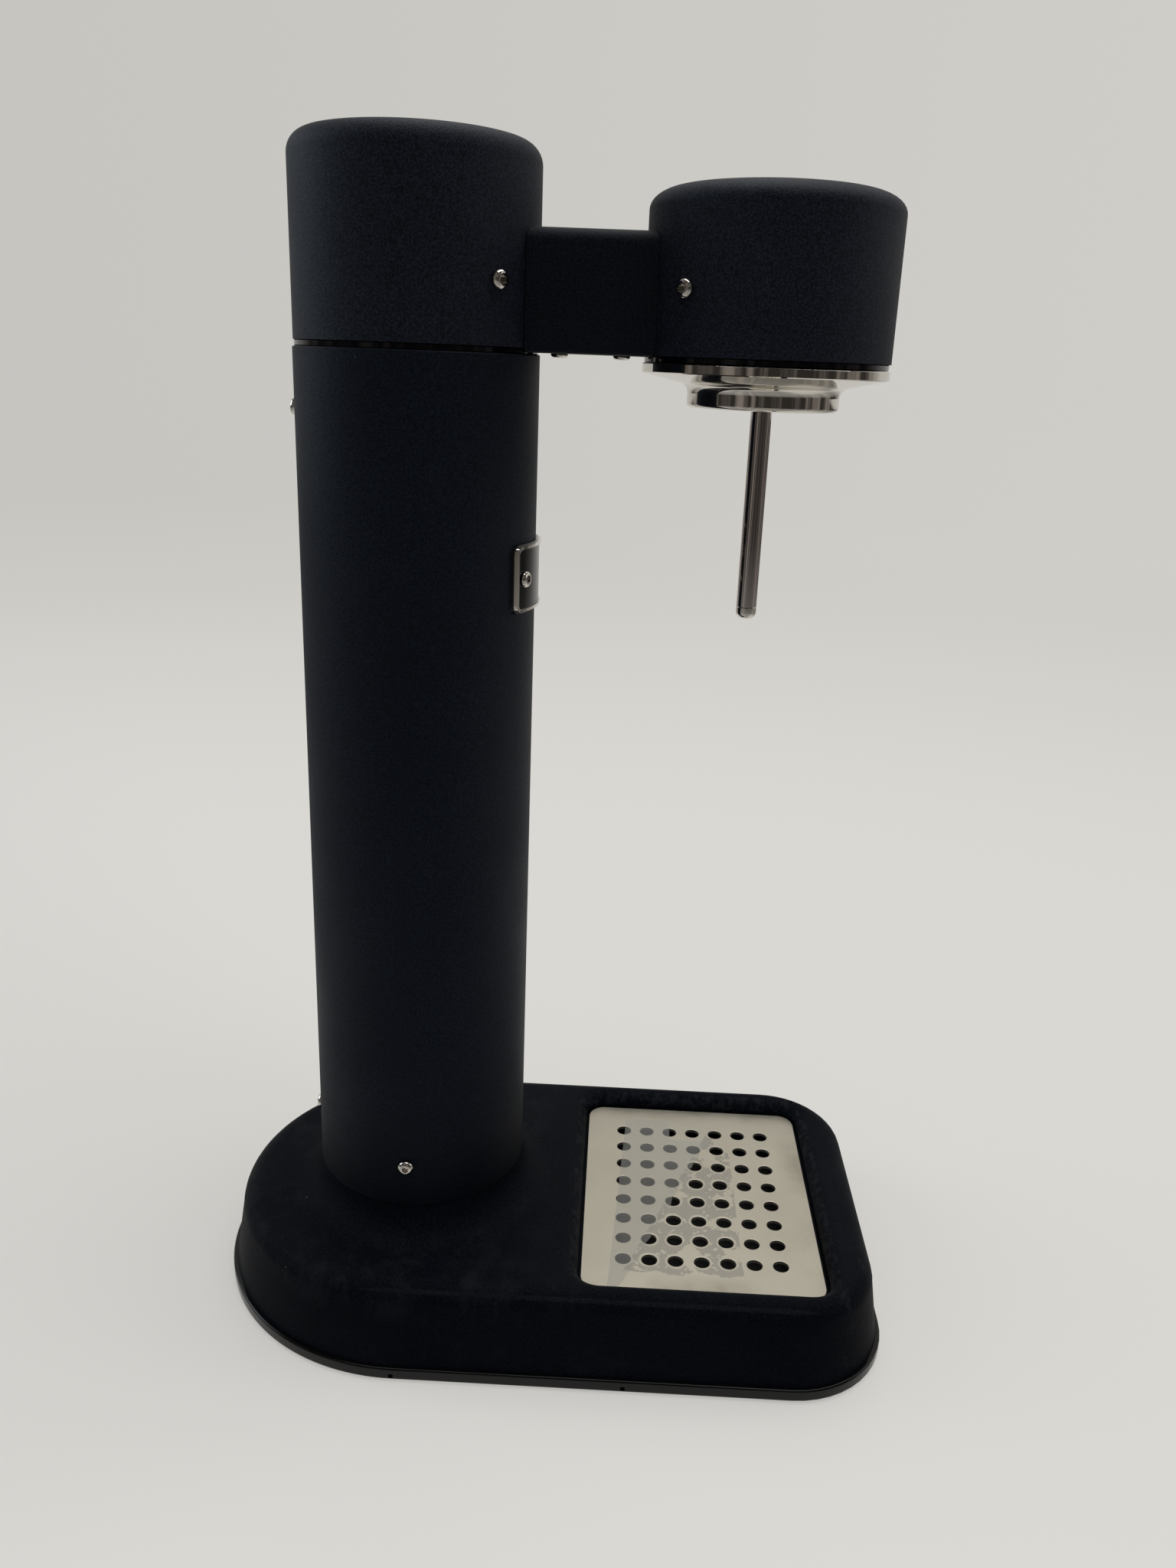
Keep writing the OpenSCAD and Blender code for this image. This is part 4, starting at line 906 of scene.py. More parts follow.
def make_film_finish():
    """Thin hazy film with clearer patches."""
    tree, shader = finish("grille_film")
    cloud = use(tree, "water_marks", Scale=60.0, Sharpness=2.5)
    pale = tint("film")
    feed(tree, shader, Base_Color=mixed(tree, cloud["Mask"], pale, scaled(0.75, pale)),
         Alpha=ramp(tree, cloud["Mask"], 0.0, 1.0, 0.12, 0.09))
    shader.inputs["Roughness"].default_value = 0.35
    bump(tree, shader, use(tree, "fine_grain", Scale=240.0)["Height"], 0.3, 0.3)


def make_finishes():
    """Makes every finish, and gives the solids theirs by slot."""
    make_effects()
    # Copies of one powder coat, each at a depth set to how its part is lit, as painted light and shade: the
    # cap and head lightest, the arm and the tower darker for shade, and the casting darkest, partly its own
    # blacker coat and partly painted shade.
    make_powder("powder_coat", 0.4, 0.07, (1.35, 1.22, 1.18), 0.15)
    make_powder("arm_coat", 0.4, 0.07, (0.70, 0.63, 0.60), 0.15)
    make_tower_finish()
    make_casting_finish()
    make_gloss("gloss_coat", 0.04, 0.12, 0.05)
    make_gloss("badge_field", 0.12, 0.28, 0.03)
    make_metal("bright_steel", "steel", 0.03, 0.09)
    make_metal("tube_steel", "dark_steel", 0.05, 0.12)
    make_metal("inner_steel", "satin", 0.28, 0.4, 0.2, 0.15)
    make_metal("turned_brass", "brass", 0.2, 0.32, 0.2, 0.1)
    make_soft("moulded_plastic", "plastic", 0.5, 1500.0)
    make_soft("matt_rubber", "rubber", 0.7, 1200.0)
    make_soft("pan_black", "gloss", 0.6, 1200.0)
    make_grille_finish()
    make_film_finish()
    for name, solid in frame["nodes"].items():
        paint(solid, "pan_black" if name == "drip_pan" else FINISHES[SLOTS[name]])


# Base

def recess_cutter():
    """Shape of the drip recess: its rounded lip, and its wall down to the ledge."""
    lip = size("lip")
    top = size("base_top")
    reach = RECESS_GAP + lip
    corner = size("grille_corner") + reach
    piece = rounded_plate("recess_cutter", 2 * (GRILLE_HIGH.x + reach), GRILLE_LOW.y - reach,
                          GRILLE_HIGH.y + reach, corner, corner, top + 1)
    lift(-1)
    step_in([(lip * math.cos(math.radians(a)), top - lip + lip * math.sin(math.radians(a)))
             for a in range(90, -1, -9)])
    lift(GRILLE_LOW.z - top + lip)
    tidy()
    return piece


def opening_cutter():
    """Shape of the opening through the ledge, over the pan."""
    edge = size("ledge")
    corner = size("grille_corner") - edge
    piece = rounded_plate("opening_cutter", 2 * (GRILLE_HIGH.x - edge), GRILLE_LOW.y + edge,
                          GRILLE_HIGH.y - edge, corner, corner, -1)
    lift(GRILLE_HIGH.z + 1)
    tidy()
    return piece


def make_base_casting():
    """Cast base: drafted sides, rounded top edge, drip recess and the flare under the tower."""
    draft = size("base_draft")
    edge = size("base_edge")
    top = size("base_top")
    flare = size("flare")
    foot = low("base_shell").z
    rear_r = high("base_shell").x
    bore_r = TOWER_R - size("tower_wall")
    casting = rounded_plate("base_casting", 2 * rear_r, low("base_shell").y, high("base_shell").y,
                            size("base_front_r"), rear_r, foot)
    sides = [(0, foot)] + [(draft + edge - x, z) for x, z in arc(0, top - edge, edge, 0, 90, 10)]
    step_in(sides)
    close_below(foot)
    carve(casting, recess_cutter())
    flare_profile = [(0, top - edge), (TOWER_R + flare, top - edge)]
    flare_profile += arc(TOWER_R + flare, top + flare, flare, 270, 180, 10) + [(0, top + flare)]
    carve(casting, turned("flare", TOWER_Y, flare_profile, 128), "UNION")
    carve(casting, opening_cutter())
    carve(casting, drum("bore", bore_r, (0, TOWER_Y, top), 4 * top, steps=128))
    only(casting)
    ledge_z = GRILLE_LOW.z
    open_x = GRILLE_HIGH.x - size("ledge") + ON_WALL
    open_y = (GRILLE_HIGH.y - GRILLE_LOW.y) / 2 - size("ledge") + ON_WALL

    def unseen(co):
        """True on the underside, the opening's walls and the tower's bore."""
        in_opening = abs(co.x) < open_x and abs(co.y - GRILLE_Y) < open_y and co.z < ledge_z + ON_WALL
        in_bore = math.hypot(co.x, co.y - TOWER_Y) < bore_r + ON_WALL
        return co.z < foot + ON_WALL or in_opening or in_bore

    choose("FACE", unseen)
    bpy.ops.mesh.delete(type="FACE")
    leave()
    modify(casting, "SOLIDIFY", thickness=size("wall") * MM, offset=-1.0, use_even_offset=True)
    smooth(casting)
    dress(casting, "casting_coat", "body", "base_shell")


def make_base_rim():
    """Glossy base plate: rounded rim, seat for the casting, cylinder opening and recesses underneath."""
    foot = low("base_plate").z
    top = high("base_plate").z
    rear_r = high("base_plate").x
    front_r = size("base_front_r") + rear_r - high("base_shell").x
    bevel = size("rim_bevel")
    rim = rounded_plate("base_rim", 2 * rear_r, low("base_plate").y, high("base_plate").y, front_r, rear_r,
                        foot)
    lift(top - foot)
    tidy()
    for level in (foot, top):
        choose("EDGE", lambda co: abs(co.z - level) < ON_LEVEL)
        bpy.ops.mesh.bevel(offset=bevel * MM, segments=4, affect="EDGES", profile=0.5)
        leave()
    choose("FACE", lambda co: abs(co.z - top) < ON_LEVEL)
    bpy.ops.mesh.inset(thickness=(RIM_SEAT - bevel) * MM, use_even_offset=True)
    lift(low("cylinder_guide").z - top)
    leave()
    cutters = [drum("bay", BAY_R, (0, TOWER_Y, 0), 40)]
    cutters += [drum("foot_recess", FOOT_RECESS_R, (x, y, 0), FOOT_RECESS, steps=48) for x, y in FEET]
    cutters += [drum("screw_recess", PLATE_SCREW_R, (x, y, 0), PLATE_SCREW_RECESS, steps=32)
                for x, y in PLATE_SCREWS]
    cutters += [brick("notch", (-rear_r - NOTCH_HALF, y - NOTCH_HALF, foot + NOTCH_LEVELS[0]),
                      (-rear_r + NOTCH_DEPTH, y + NOTCH_HALF, foot + NOTCH_LEVELS[1])) for y in NOTCHES]
    carve(rim, joined(cutters))
    smooth(rim)
    dress(rim, "gloss_coat", "body", "base_plate")


# Grille and film

def make_grille():
    """Perforated steel plate with softened edges round every hole."""
    corner = size("grille_corner")
    plate = rounded_plate("grille_plate", 2 * GRILLE_HIGH.x, GRILLE_LOW.y, GRILLE_HIGH.y, corner, corner,
                          GRILLE_LOW.z, 10)
    lift(GRILLE_HIGH.z - GRILLE_LOW.z)
    tidy()
    first = (-(HOLES[0] - 1) / 2 * HOLE_PITCH[0], GRILLE_Y - (HOLES[1] - 1) / 2 * HOLE_PITCH[1])
    holes = drum("holes", size("grille_hole") / 2, (*first, GRILLE_HIGH.z), 12, steps=32)
    for axis in (0, 1):
        step = [0, 0, 0]
        step[axis] = HOLE_PITCH[axis] * MM
        modify(holes, "ARRAY", count=HOLES[axis], use_relative_offset=False, use_constant_offset=True,
               constant_offset_displace=step)
    carve(plate, holes)
    soften(plate, GRILLE_BEVEL, 40)
    smooth(plate, 30)
    dress(plate, "grille_steel", "grille", "drip_grille")


def make_film():
    """Torn protective film that lies on the grille from its rear corner."""
    top = GRILLE_HIGH.z
    sheet = start("torn_film", bpy.ops.mesh.primitive_plane_add, size=FILM_SHEET * MM,
                  location=Vector((0, GRILLE_Y, top + FILM_GAP)) * MM)
    torn = Vector((FILM_TEAR[1][0] - FILM_TEAR[0][0], FILM_TEAR[1][1] - FILM_TEAR[0][1], 0))
    left = Vector((FILM_LEFT[1][0] - FILM_LEFT[0][0], FILM_LEFT[1][1] - FILM_LEFT[0][1], 0))
    cuts = [(FILM_TEAR[0], Vector((-torn.y, torn.x, 0))), (FILM_LEFT[0], Vector((-left.y, left.x, 0))),
            ((FILM_ENDS[0], 0), Vector((1, 0, 0))), ((FILM_ENDS[1], 0), Vector((-1, 0, 0)))]
    for (x, y), way in cuts:
        slit((x, y, top), way.normalized(), True)
    slit((FILM_NOTCH[0], 0, top), (1, 0, 0))
    slit((0, FILM_NOTCH[1], top), (0, 1, 0))
    choose("FACE", lambda co: co.x > FILM_NOTCH[0] - ON_LEVEL and co.y < FILM_NOTCH[1] + ON_LEVEL)
    bpy.ops.mesh.delete(type="FACE")
    take_all()
    bpy.ops.mesh.subdivide(number_cuts=14)
    leave()

    def on_tear(co):
        """True along the torn edge."""
        across = (co.x - FILM_TEAR[0][0]) * torn.y - (co.y - FILM_TEAR[0][1]) * torn.x
        return abs(across) < ON_CURVE * torn.length

    choose("VERT", on_tear)
    bpy.ops.transform.vertex_random(offset=FILM_FRAY * MM, seed=4)
    take_all()
    bpy.ops.transform.resize(value=(1, 1, 0), center_override=Vector((0, 0, top + FILM_GAP)) * MM)
    leave()
    tidy()
    modify(sheet, "SOLIDIFY", thickness=FILM_THICK * MM, offset=1.0)
    smooth(sheet, weighted=False)
    dress(sheet, "grille_film", "grille")


# Tower

def make_tower():
    """Tower tube and the glossy ring in the gap under the cap."""
    make_ring("tower_skin", "tower_tube", TOWER_Y, TOWER_R - size("tower_wall"), "tower_coat", steps=160)
    make_ring("seam_band", "seam_ring", TOWER_Y, SEAM_BORE, "gloss_coat")


def badge_block(name, margin, inner, outer):
    """Curved block on the tower's front with rounded corners, drawn in by a margin."""
    half = high("badge_plate").x - margin
    half_high = (high("badge_plate").z - low("badge_plate").z) / 2 - margin
    corner = max(BADGE_CORNER - margin, 0.5)
    prism = rounded_plate(name + "_outline", 2 * half, -half_high, half_high, corner, corner, 0, 8)
    lift(TOWER_R)
    tidy()
    settle(prism, at(0, TOWER_Y - 20, middle("badge_plate").z) @ Matrix.Rotation(TURN / 4, 4, "X"))
    z0 = low("badge_plate").z - SPARE
    z1 = high("badge_plate").z + SPARE
    block = turned(name, TOWER_Y, [(inner, z0), (outer, z0), (outer, z1), (inner, z1), (inner, z0)], 360)
    carve(block, prism, "INTERSECT")
    return block


def make_badge():
    """Badge on the tower's front: a bare glossy field in a bright raised border."""
    outer = TOWER_R + BADGE_RISE
    field = TOWER_R + BADGE_FIELD
    border = size("badge_border")
    badge = badge_block("badge", 0, TOWER_R + FIT, TOWER_R + BADGE_FLANGE)
    carve(badge, badge_block("badge_rim", BADGE_STEP, TOWER_R + FIT, outer), "UNION")
    carve(badge, badge_block("badge_field", border, field, outer + 3))
    soften(badge, BADGE_BEVEL, 50)
    smooth(badge, 30)
    claim(badge, "body", "badge_plate")
    paint(badge, "bright_steel", "badge_field")
    only(badge)
    choose("FACE", lambda co: math.hypot(co.x, co.y - TOWER_Y) < field + ON_CURVE)
    badge.active_material_index = 1
    bpy.ops.object.material_slot_assign()
    leave()


# Cap, arm and head

def domed(name, y, radius, z0, z1, edge, spread=1):
    """A shell that is open below and rounded along its top edge, further in than down by a spread."""
    rounding = [(radius + (x - radius) * spread, z)
                for x, z in arc(radius - edge, z1 - edge, edge, 0, 90, 10)]
    profile = [(radius, z0)] + rounding + [(0, z1)]
    shell = turned(name, y, profile, 160)
    modify(shell, "SOLIDIFY", thickness=size("shell_wall") * MM, offset=-1.0, use_even_offset=True)
    return shell


def beam_cutter(y):
    """Window for the beam inside the arm."""
    return brick("window", (-WINDOW_HALF, y - WINDOW_REACH, WINDOW_LEVELS[0]),
                 (WINDOW_HALF, y + WINDOW_REACH, WINDOW_LEVELS[1]))


def make_cap_and_head():
    """Cap of the tower, head over the bottle and the glossy ring under the head."""
    cap = domed("cap_shell", TOWER_Y, CAP_R, low("tower_cap").z, high("tower_cap").z, size("cap_edge"))
    carve(cap, drum("shaft_hole", SHAFT_HOLE_R, (CAP_R, LEVER_AXIS.y, LEVER_AXIS.z), 30, "X", 48))
    carve(cap, beam_cutter(TOWER_Y - CAP_R))
    smooth(cap)
    dress(cap, "powder_coat", "body", "tower_cap")
    head = domed("head_cover", HEAD_Y, HEAD_R, low("head_shell").z, high("head_shell").z, size("head_edge"),
                 HEAD_SPREAD)
    carve(head, beam_cutter(HEAD_Y + HEAD_R))
    smooth(head)
    dress(head, "powder_coat", "body", "head_shell")
    make_ring("head_band", "head_ring", HEAD_Y, HEAD_RING_BORE, "gloss_coat")


def make_arm():
    """Hollow arm cover between the cap and the head, cut to their round walls."""
    height = high("arm_cover").z - low("arm_cover").z
    cover = rounded_plate("arm_shell", 2 * high("arm_cover").x, 0, height, ARM_LOW_R, size("arm_edge"), 0,
                          10)
    bpy.ops.mesh.inset(thickness=ARM_WALL * MM, use_even_offset=True)
    bpy.ops.mesh.delete(type="FACE")
    take_all()
    lift(TOWER_Y - HEAD_Y)
    tidy()
    settle(cover, at(0, TOWER_Y, low("arm_cover").z) @ Matrix.Rotation(TURN / 4, 4, "X"))
    for y, radius in ((TOWER_Y, TOWER_R), (HEAD_Y, HEAD_R)):
        wall = drum("round_wall", radius + ARM_GAP, (0, y, middle("arm_cover").z), 4 * height, steps=160)
        carve(cover, wall)
    smooth(cover)
    dress(cover, "arm_coat", "body", "arm_cover")


# Bottle collar and nozzle

def make_collar():
    """Polished bottle collar: bright band, sloped underside, filleted neck and three bayonet lugs."""
    top = high("bottle_collar").z
    foot = low("bottle_collar").z
    slope_z = top - COLLAR_BAND - COLLAR_SLOPE
    neck = COLLAR_NECK_R
    inner = COLLAR_MOUTH_R
    edge = RING_EDGE
    profile = [(inner, top), (HEAD_R - edge, top), (HEAD_R, top - edge), (HEAD_R, top - COLLAR_BAND + edge),
               (HEAD_R - edge, top - COLLAR_BAND)]
    profile += arc(neck + COLLAR_FILLET, slope_z - COLLAR_FILLET, COLLAR_FILLET, 90, 180, 8)
    profile += arc(neck - COLLAR_EDGE, foot + COLLAR_EDGE, COLLAR_EDGE, 0, -90, 6)
    profile += [(inner + edge, foot), (inner, foot + edge), (inner, top)]
    collar = turned("bottle_socket", HEAD_Y, profile, 160)
    z0 = foot + COLLAR_EDGE
    for turn in (0, 120, 240):
        lug = turned("lug", HEAD_Y, [(inner - LUG_REACH, z0), (inner + 1, z0), (inner + 1, z0 + LUG_H),
                                     (inner - LUG_REACH, z0 + LUG_H), (inner - LUG_REACH, z0)], 18,
                     math.radians(LUG_ANGLE))
        fill_ends(4)
        axis = Matrix.Translation((0, HEAD_Y * MM, 0))
        settle(lug, axis @ Matrix.Rotation(math.radians(turn), 4, "Z") @ axis.inverted())
        carve(collar, lug, "UNION")
    smooth(collar, 25)
    dress(collar, "bright_steel", "body", "bottle_collar")


def make_nozzle():
    """Dark steel nozzle tube with a bright rounded tip."""
    outer = high("nozzle_tube").x
    edge = NOZZLE_EDGE
    make_ring("nozzle_pipe", "nozzle_tube", HEAD_Y, NOZZLE_BORE_R, "tube_steel", edge, 64)
    foot = low("nozzle_tip").z
    seat = low("nozzle_tube").z
    top = high("nozzle_tip").z
    profile = [(ORIFICE_R, foot)] + arc(outer - TIP_ROUND, foot + TIP_ROUND, TIP_ROUND, -90, 0, 8)
    profile += [(outer, seat - edge), (outer - edge, seat), (NOZZLE_BORE_R - FIT, seat),
                (NOZZLE_BORE_R - FIT, top), (ORIFICE_R, top), (ORIFICE_R, foot)]
    tip = turned("nozzle_end", HEAD_Y, profile, 64)
    smooth(tip, 30)
    dress(tip, "bright_steel", "body", "nozzle_tip")


# Screws

def button_screw(name, head_r, head_h, shank_r, shank_l):
    """One button-head screw with a hex socket: its seat is at the origin and its shank points down."""
    rim = 0.25 * head_h
    flat = 0.5 * head_r
    dome = [(flat + (head_r - flat) * math.cos(a), rim + (head_h - rim) * math.sin(a))
            for a in [TURN / 4 * i / 6 for i in range(7)]]
    screw = turned(name, 0, [(0, -shank_l), (shank_r, -shank_l), (shank_r, 0), (head_r - 0.1, 0)] + dome
                   + [(0, head_h)], 32)
    carve(screw, drum("socket", 0.45 * head_r, (0, 0, 0.4 * head_h + head_h), 2 * head_h, steps=6))
    return screw


def make_screws():
    """Every screw that shows: one of each size, copied to its places."""
    tower = button_screw("tower_screw", *TOWER_SCREW, 6)
    low_z = low("tower_screws").z + TOWER_SCREW[0]
    high_z = high("tower_screws").z - TOWER_SCREW[0]
    cap_z = middle("cap_screws").z
    head_z = middle("head_screws").z
    sets = {
        "tower_screws": [on_wall(TOWER_Y, TOWER_R, low_z, a) for a in (-90, 90, 180)]
        + [on_wall(TOWER_Y, TOWER_R, high_z, 180)],
        "cap_screws": [on_wall(TOWER_Y, CAP_R, cap_z, a) for a in (-CAP_SCREW_ANGLE, CAP_SCREW_ANGLE)],
        "head_screws": [on_wall(HEAD_Y, HEAD_R, head_z, 180 + a)
                        for a in (-HEAD_SCREW_ANGLE, HEAD_SCREW_ANGLE)],
    }
    place_screws(tower, sets)
    badge = button_screw("badge_screw", *BADGE_SCREW, 3)
    badge_z = middle("badge_screws").z
    field = TOWER_R + BADGE_FIELD + BADGE_SCREW_RISE
    place_screws(badge, {"badge_screws": [on_wall(TOWER_Y, field, badge_z, a)
                                          for a in (-BADGE_SCREW_ANGLE, BADGE_SCREW_ANGLE)]})
    arm = button_screw("arm_screw", *ARM_SCREW, 6)
    down = Matrix.Rotation(TURN / 2, 4, "X")
    places = (low("arm_screws").y + ARM_SCREW[0], high("arm_screws").y - ARM_SCREW[0])
    place_screws(arm, {"arm_screws": [at(0, y, low("arm_cover").z) @ down for y in places]})
    lever = button_screw("lever_bolt", *INNER_SCREW, 8)
    seat = at(high("lever_screw").x - INNER_SCREW[1], LEVER_AXIS.y, LEVER_AXIS.z)
    place_screws(lever, {"lever_screw": [seat @ Matrix.Rotation(TURN / 4, 4, "Y")]}, "lever")


def place_screws(screw, sets, body="body"):
    """Copies one screw to each set of places, joins each set and removes the first one."""
    for name, places in sets.items():
        copies = joined([copy_at(screw, place) for place in places])
        copies.name = "bright_" + name
        copies.data.name = copies.name
        smooth(copies, 30)
        dress(copies, "bright_steel", body, name)
    remove(screw)


# Lever

def make_lever():
    """Side lever: a rounded hub on the shaft and a bar that swells to a rounded grip."""
    hub_r = (high("lever").z - low("lever").z) / 2
    x0 = low("lever").x
    width = high("lever").x - x0
    edge = LEVER_EDGE
    reach = LEVER_AXIS.y - low("lever").y
    bore = SHAFT_R + FIT
    recess = INNER_SCREW[0] + LEVER_SEAT_GAP
    seat = width - LEVER_SEAT
    face = width - LEVER_FACE
    profile = [(bore, 0), (hub_r - LEVER_CHAMFER, 0), (hub_r, LEVER_CHAMFER)]
    profile += arc(hub_r - edge, width - edge, edge, 0, 90)
    profile += [(recess, width), (recess, seat), (LEVER_BOLT_R, seat), (LEVER_BOLT_R, face), (bore, face),
                (bore, 0)]
    hub = turned("side_lever", 0, profile)
    settle(hub, at(x0, LEVER_AXIS.y, LEVER_AXIS.z) @ Matrix.Rotation(TURN / 4, 4, "Y"))
    grip = LEVER_GRIP_R
    profile = [(0, bore + 2), (LEVER_NECK_R, bore + 2), (LEVER_NECK_R, hub_r), (grip, reach / 2)]
    bar = turned("bar", 0, profile + arc(0, reach - grip, grip, 0, 90), 48)
    tilted = Matrix.Rotation(TURN / 4 - math.radians(LEVER_TILT), 4, "X")
    settle(bar, at(x0 + width / 2, LEVER_AXIS.y, LEVER_AXIS.z) @ tilted)
    carve(hub, bar, "UNION")
    smooth(hub, 30)
    dress(hub, "bright_steel", "lever", "lever")


# Springs

def make_springs():
    """Coil springs of the plunger and the relief valve."""
    for name, (wire, joint, fixed_end) in SPRINGS.items():
        tall = high(name).z - low(name).z - SPRING_GAP
        axis = middle(name)
        foot = low(name).z if fixed_end == "below" else low(name).z + SPRING_GAP
        radius = (high(name).x - low(name).x - wire) / 2
        coil = start(name + "_coil", bpy.ops.mesh.primitive_circle_add, vertices=10, radius=wire / 2 * MM,
                     location=Vector((radius, 0, wire / 2)) * MM, rotation=(TURN / 4, 0, 0))
        modify(coil, "SCREW", axis="Z", angle=TURN, iterations=SPRING_TURNS, steps=24, render_steps=24,
               screw_offset=(tall - wire) / SPRING_TURNS * MM)
        fill_ends(10)
        settle(coil, at(axis.x, axis.y, foot))
        smooth(coil, 60, weighted=False)
        dress(coil, "inner_steel", "body", name)
        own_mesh(coil)


# Stage

def backdrop_colour(tree, way, stage):
    """Backdrop colour by direction: dimmer on the tower's side."""
    dim = ramp(tree, sides_of(tree, way)["Y"], -0.45, 0.5)
    return mixed(tree, dim, (*stage.backdrop, 1.0), (*stage.backdrop_dim, 1.0))


def room_colour(tree, way, backdrop, bright, stage):
    """Backdrop for the camera; in gloss, a dark room with upright shapes where it isn't bright."""
    tall = node(tree, "Mapping", {"Vector": way, "Scale": (1.0, 1.0, 0.25)})
    shapes = node(tree, "TexNoise", {"Vector": tall.outputs[0], "Scale": 5.5, "Detail": 3.0})
    level = ramp(tree, shapes.outputs["Fac"], 0.4, 0.68)
    room = mixed(tree, level, scaled(0.35, stage.room), scaled(2.6, stage.room))
    camera = node(tree, "LightPath").outputs["Is Camera Ray"]
    return mixed(tree, larger(tree, camera, bright), room, backdrop)


def seen_ray(tree):
    """1 for rays that show the backdrop: from the camera, in gloss and through glass."""
    path = node(tree, "LightPath").outputs
    both = larger(tree, path["Is Camera Ray"], path["Is Glossy Ray"])
    return larger(tree, both, path["Is Transmission Ray"])


def make_floor(stage):
    """Large pale floor that fades into the backdrop, and lights the object less on the camera's side."""
    floor = start("floor", bpy.ops.mesh.primitive_circle_add, vertices=96, radius=FLOOR_R, fill_type="NGON")
    tree, shader = finish("floor")
    here = place_of(tree)
    reach = node(tree, "VectorMath", {0: here}, operation="LENGTH").outputs["Value"]
    way = node(tree, "VectorMath", {0: here}, operation="NORMALIZE").outputs["Vector"]
    far = ramp(tree, reach, 0.35, 2.5, stage.glow, 1.0)
    shown = times(tree, far, seen_ray(tree))
    sides = sides_of(tree, way)
    # Painted shade on the near floor: darker towards +Y, the tower's side, and a little darker behind the
    # object.
    level = times(tree, ramp(tree, sides["X"], -0.9, 0.3, 0.97, 0.88),
                  ramp(tree, sides["Y"], 0.5, 1.0, 1.0, 0.9))
    near = mixed(tree, level, BLACK, (*stage.floor, 1.0))
    sky = mixed(tree, ramp(tree, reach, 0.25, 3.0), near, backdrop_colour(tree, way, stage))
    behind = ramp(tree, sides["X"], 0.7, 0.92)
    away = times(tree, ramp(tree, reach, 0.3, 0.65, 1.0, 0.0), ramp(tree, sides["X"], -0.75, -0.2))
    close = larger(tree, away, ramp(tree, reach, 0.11, 0.2, 1.0, 0.0))
    bright = larger(tree, behind, close)
    glow = node(tree, "Emission", {"Color": room_colour(tree, way, sky, bright, stage)})
    bounce = times(tree, node(tree, "LightPath").outputs["Is Diffuse Ray"],
                   ramp(tree, sides["X"], 0.3, -0.5, 0.0, 0.75))
    feed(tree, shader, Base_Color=mixed(tree, bounce, (*stage.floor, 1.0), BLACK))
    shader.inputs["Roughness"].default_value = 0.9
    shader.inputs["Specular IOR Level"].default_value = 0.1
    mix = node(tree, "MixShader", {0: shown, 1: shader.outputs[0], 2: glow.outputs[0]})
    tree.links.new(mix.outputs[0], tree.nodes["Material Output"].inputs["Surface"])
    floor.data.materials.append(bpy.data.materials["floor"])


def make_world(stage):
    """Backdrop for the camera; for light and gloss, a room that is darker on the camera's side."""
    world = bpy.data.worlds.new("studio")
    bpy.context.scene.world = world
    world.use_nodes = True
    tree = world.node_tree
    way = node(tree, "TexCoord").outputs["Generated"]
    across = sides_of(tree, way)["X"]
    backdrop = backdrop_colour(tree, way, stage)
    gloss = room_colour(tree, way, backdrop, ramp(tree, across, 0.2, 0.6), stage)
    side = ramp(tree, across, -0.6, 0.5)
    light = mixed(tree, side, (*stage.fill, 1.0), backdrop)
    shown = mixed(tree, node(tree, "LightPath").outputs["Is Diffuse Ray"], gloss, light)
    tree.links.new(shown, tree.nodes["Background"].inputs["Color"])


def add_lamp(name, spot, width, tone, watts):
    """A soft square lamp that faces the object."""
    unselect()
    bpy.ops.object.light_add(type="AREA", location=spot)
    lamp = bpy.context.active_object
    lamp.name = name
    lamp.data.size = width
    lamp.data.energy = watts
    lamp.data.color = tone
    way = Vector(LAMP_TARGET) - Vector(spot)
    lamp.rotation_euler = way.to_track_quat("-Z", "Y").to_euler()


def make_camera(stage):
    """Camera at the photograph's place."""
    flat = math.cos(CAMERA_PITCH)
    forward = Vector((math.cos(CAMERA_YAW) * flat, math.sin(CAMERA_YAW) * flat, -math.sin(CAMERA_PITCH)))
    level = forward.cross(Vector((0, 0, 1))).normalized()
    rise = level.cross(forward)
    right = level * math.cos(CAMERA_ROLL) + rise * math.sin(CAMERA_ROLL)
    up = rise * math.cos(CAMERA_ROLL) - level * math.sin(CAMERA_ROLL)
    unselect()
    bpy.ops.object.camera_add()
    camera = bpy.context.active_object
    turn = Matrix((right, up, -forward)).transposed().to_4x4()
    camera.matrix_world = at(*CAMERA_PLACE) @ turn
    camera.data.sensor_width = SENSOR
    camera.data.lens = stage.lens
    camera.data.clip_start = 0.01
    bpy.context.scene.camera = camera


def make_stage():
    """Floor, world, lamps and camera."""
    stage = bpy.context.scene.machine_stage
    bpy.context.scene.view_settings.view_transform = "Standard"
    make_floor(stage)
    make_world(stage)
    for name, (spot, width, tone) in LAMPS.items():
        add_lamp(name, spot, width, tone, getattr(stage, name))
    make_camera(stage)


# Tools in the sidebar

class WATERMAKER_OT_finishes(bpy.types.Operator):
    """Makes every finish and gives the solids theirs"""

    bl_idname = "watermaker.finishes"
    bl_label = "Finishes"

    def execute(self, context):
        make_finishes()
        return {"FINISHED"}


class WATERMAKER_OT_base_casting(bpy.types.Operator):
    """Models the cast base with its recess and flare"""

    bl_idname = "watermaker.base_casting"
    bl_label = "Base casting"

    def execute(self, context):
        make_base_casting()
        return {"FINISHED"}


class WATERMAKER_OT_base_rim(bpy.types.Operator):
    """Models the glossy base plate"""

    bl_idname = "watermaker.base_rim"
    bl_label = "Base rim"

    def execute(self, context):
        make_base_rim()
        return {"FINISHED"}


class WATERMAKER_OT_grille(bpy.types.Operator):
    """Models the perforated drip grille"""

    bl_idname = "watermaker.grille"
    bl_label = "Grille"

    def execute(self, context):
        make_grille()
        return {"FINISHED"}


